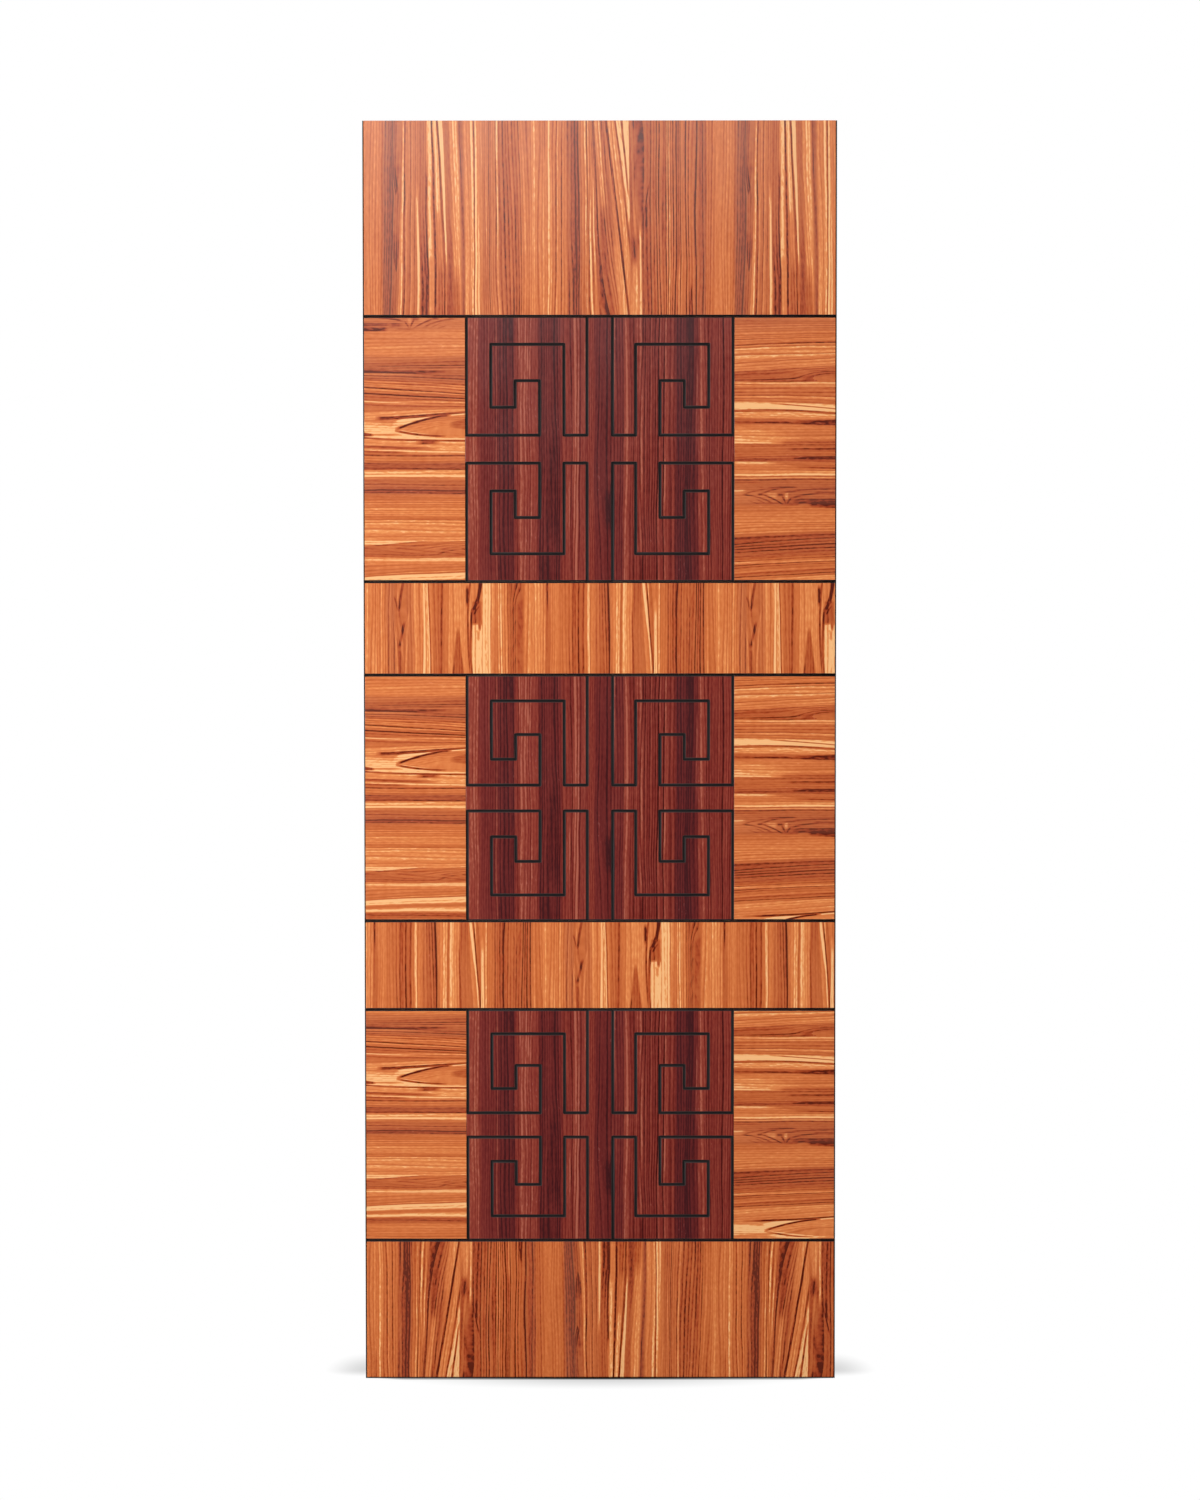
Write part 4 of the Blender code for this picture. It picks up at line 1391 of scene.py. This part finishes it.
def floor_glow_with_painted_shadows(graph, x, y):
    """White, but for painted shadows under the foot of the door, in front of it and behind it."""
    off_middle = graph.math("ABSOLUTE", graph.math("SUBTRACT", x, MIDDLE_X))
    past_side = graph.positive(graph.math("SUBTRACT", off_middle, MIDDLE_X))
    past_face = graph.positive(graph.math("ADD", graph.math("ABSOLUTE", y), FACE_Y))
    thinning = CORNER_THINNING * CONTACT_REACH
    near_corner = graph.between(off_middle, MIDDLE_X - CORNER_REACH, MIDDLE_X, 0.0, thinning)
    off_foot = distance(graph, past_side, past_face, SIDE_SHARE, 1.0)
    off_foot = graph.math("ADD", off_foot, near_corner)
    contact = graph.between(off_foot, 0.0, CONTACT_REACH, 0.0, CONTACT_SHARE)
    off_shadow = distance(graph, off_middle, past_face, *SOFT_REACH)
    soft = graph.between(off_shadow, 0.0, 1.0, 0.0, SOFT_SHARE)
    behind = graph.math("SUBTRACT", y, CAST_START)
    behind = graph.math("MAXIMUM", behind, graph.math("MULTIPLY", behind, -CAST_FORWARD))
    off_cast = distance(graph, past_side, behind, *CAST_REACH)
    cast = graph.between(off_cast, 0.0, 1.0, CAST_SHARE, 0.0)
    return graph.math("SUBTRACT", graph.math("ADD", contact, soft), cast, clamp=True)


def make_floor():
    """A plain white floor that stays white to the camera, but for painted soft contact shadows in its
    glow.
    """
    mesh = bpy.data.meshes.new("studio_floor")
    corners = [(x, y, FLOOR_Z - FLOOR_GAP) for x, y in (
        (-FLOOR_REACH, -FLOOR_REACH), (FLOOR_REACH, -FLOOR_REACH),
        (FLOOR_REACH, FLOOR_REACH), (-FLOOR_REACH, FLOOR_REACH),
    )]
    mesh.from_pydata(corners, [], [(0, 1, 2, 3)])
    floor = add_object("studio_floor", mesh)
    material, graph, shader = plain_material("white studio floor", roughness=0.9, specular=0.0)
    shader.inputs["Emission Color"].default_value = WHITE
    place = graph.coordinates("Object")
    white = floor_glow_with_painted_shadows(graph, place["X"], place["Y"])
    path = graph.add("ShaderNodeLightPath").outputs
    seen = path["Is Camera Ray"]
    bounce = graph.mix_colour(path["Is Glossy Ray"], BOUNCE, GLOSS_BOUNCE)
    bounce = graph.mix_colour(seen, bounce, BLACK)
    graph.feed(shader.inputs["Base Color"], bounce)
    # The floor's glow to the camera carries the painted shadows.
    graph.feed(shader.inputs["Emission Strength"], graph.math("MULTIPLY", seen, white))
    mesh.materials.append(material)


# ---- Lights and camera -----------------------------------------------------------------------

ROOM_BEHIND = 0.95            # light of the room behind the door, and in front of it
ROOM_IN_FRONT = 0.10
ROOM_TURNS = (-0.1, 0.5)      # how far back a direction points where the room turns bright

# Each softbox: where it is, the point that it faces, its width and height, and its watts.
SOFTBOXES = {
    "key_softbox": ((-2.2, -4.0, 0.10), (0.38, 0.0, -0.05), (1.8, 2.4), 224.0),
    "high_softbox": ((-0.66, -7.58, 2.83), (0.30, 0.0, 0.75), (3.95, 1.28), 172.0),
    "upper_left_softbox": ((-0.7, -3.0, 1.75), (0.38, 0.0, 0.80), (2.0, 1.3), 17.0),
    "fill_softbox": ((2.9, -3.6, -0.3), (0.38, 0.0, -0.30), (1.6, 1.6), 32.0),
    "overhead_softbox": ((0.38, 1.0, 2.3), (0.38, 0.7, -1.0), (2.2, 1.4), 45.0),
}
CAMERA_LENS = 74.35
CAMERA_SENSOR = 36.0
CAMERA_SEES = 200.0           # how far it sees, in metres
CAMERA_PLACE = (0.389, FACE_Y - 5.0, 0.166)
CAMERA_TURN = (90 - 1.84, 0.03, 0.09)     # pitch, roll and heading, in degrees


def make_world():
    """White behind the object, and a room for light that is bright behind it and dim in front."""
    world = bpy.data.worlds.new("white studio")
    bpy.context.scene.world = world
    world.use_nodes = True
    graph = Graph(world.node_tree)
    background = world.node_tree.nodes["Background"]
    back = graph.coordinates("Generated")["Y"]
    room = graph.between(back, *ROOM_TURNS, ROOM_IN_FRONT, ROOM_BEHIND)
    seen = graph.add("ShaderNodeLightPath").outputs["Is Camera Ray"]
    graph.feed(background.inputs["Strength"], graph.mix(seen, room, 1.0))
    background.inputs["Color"].default_value = WHITE


def make_lights():
    """A key on the left, two high in front, a weak fill on the right and one overhead behind."""
    for name, (place, aim, size, power) in SOFTBOXES.items():
        light = bpy.data.lights.new(name, "AREA")
        light.shape = "RECTANGLE"
        light.size, light.size_y = size
        light.energy = power
        softbox = add_object(name, light)
        softbox.location = place
        facing = (Vector(aim) - Vector(place)).to_track_quat("-Z", "Y")
        softbox.rotation_euler = facing.to_euler()


def make_camera():
    """The camera, in front of the door and a little above its middle, tipped slightly down."""
    camera = bpy.data.cameras.new("camera")
    camera.lens = CAMERA_LENS
    camera.sensor_width = CAMERA_SENSOR
    camera.clip_end = CAMERA_SEES
    stand = add_object("camera", camera)
    stand.location = CAMERA_PLACE
    stand.rotation_euler = Euler([math.radians(angle) for angle in CAMERA_TURN])
    bpy.context.scene.camera = stand


def set_picture():
    """Plain display of the light, so that whites stay white."""
    bpy.context.scene.view_settings.view_transform = "Standard"
    bpy.context.scene.view_settings.look = "None"


# ---- The whole scene -------------------------------------------------------------------------

# Each film: its name, print, colours, cast, strength of its fine lines, shade (painted shade on every
# tone) and the reach of painted shade from its cut end.
FILMS = {
    "rail": ("light film, rail print", RAIL_PRINT, LIGHT_FILM, MAUVE, 0.68, -0.03),
    # The bottom rail's copy of the rail print: darker, with fainter lines, as painted shade where less
    # light falls low on the door, and with painted shade along its foot.
    "dark_rail": (
        "light film, darker rail print", RAIL_PRINT, LIGHT_FILM, MAUVE, 0.58, -0.09, 4.4,
    ),
    "lock_rail": ("light film, lock rail print", LOCK_RAIL_PRINT, LIGHT_FILM, MAUVE, 0.64),
    "left_panel": ("light film, left panel print", LEFT_PANEL_PRINT, LIGHT_FILM, MAUVE, 0.56),
    "right_panel": ("light film, right panel print", RIGHT_PANEL_PRINT, LIGHT_FILM, MAUVE, 0.66),
    "fretwork": ("dark film, fretwork print", DARK_PRINT, DARK_FILM, PLUM, 0.70),
}


def dress(node, material):
    """Give a kept piece of the frame its material."""
    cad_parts[node].data.materials.clear()
    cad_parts[node].data.materials.append(material)


films = {film: make_film(*looks) for film, looks in FILMS.items()}
make_facings(films, make_groove_paint())
dress("leaf_board", make_board())
band = make_edge_band()
for node in BANDS_AT_EDGES:
    dress(node, band)

make_floor()
make_world()
make_lights()
make_camera()
set_picture()
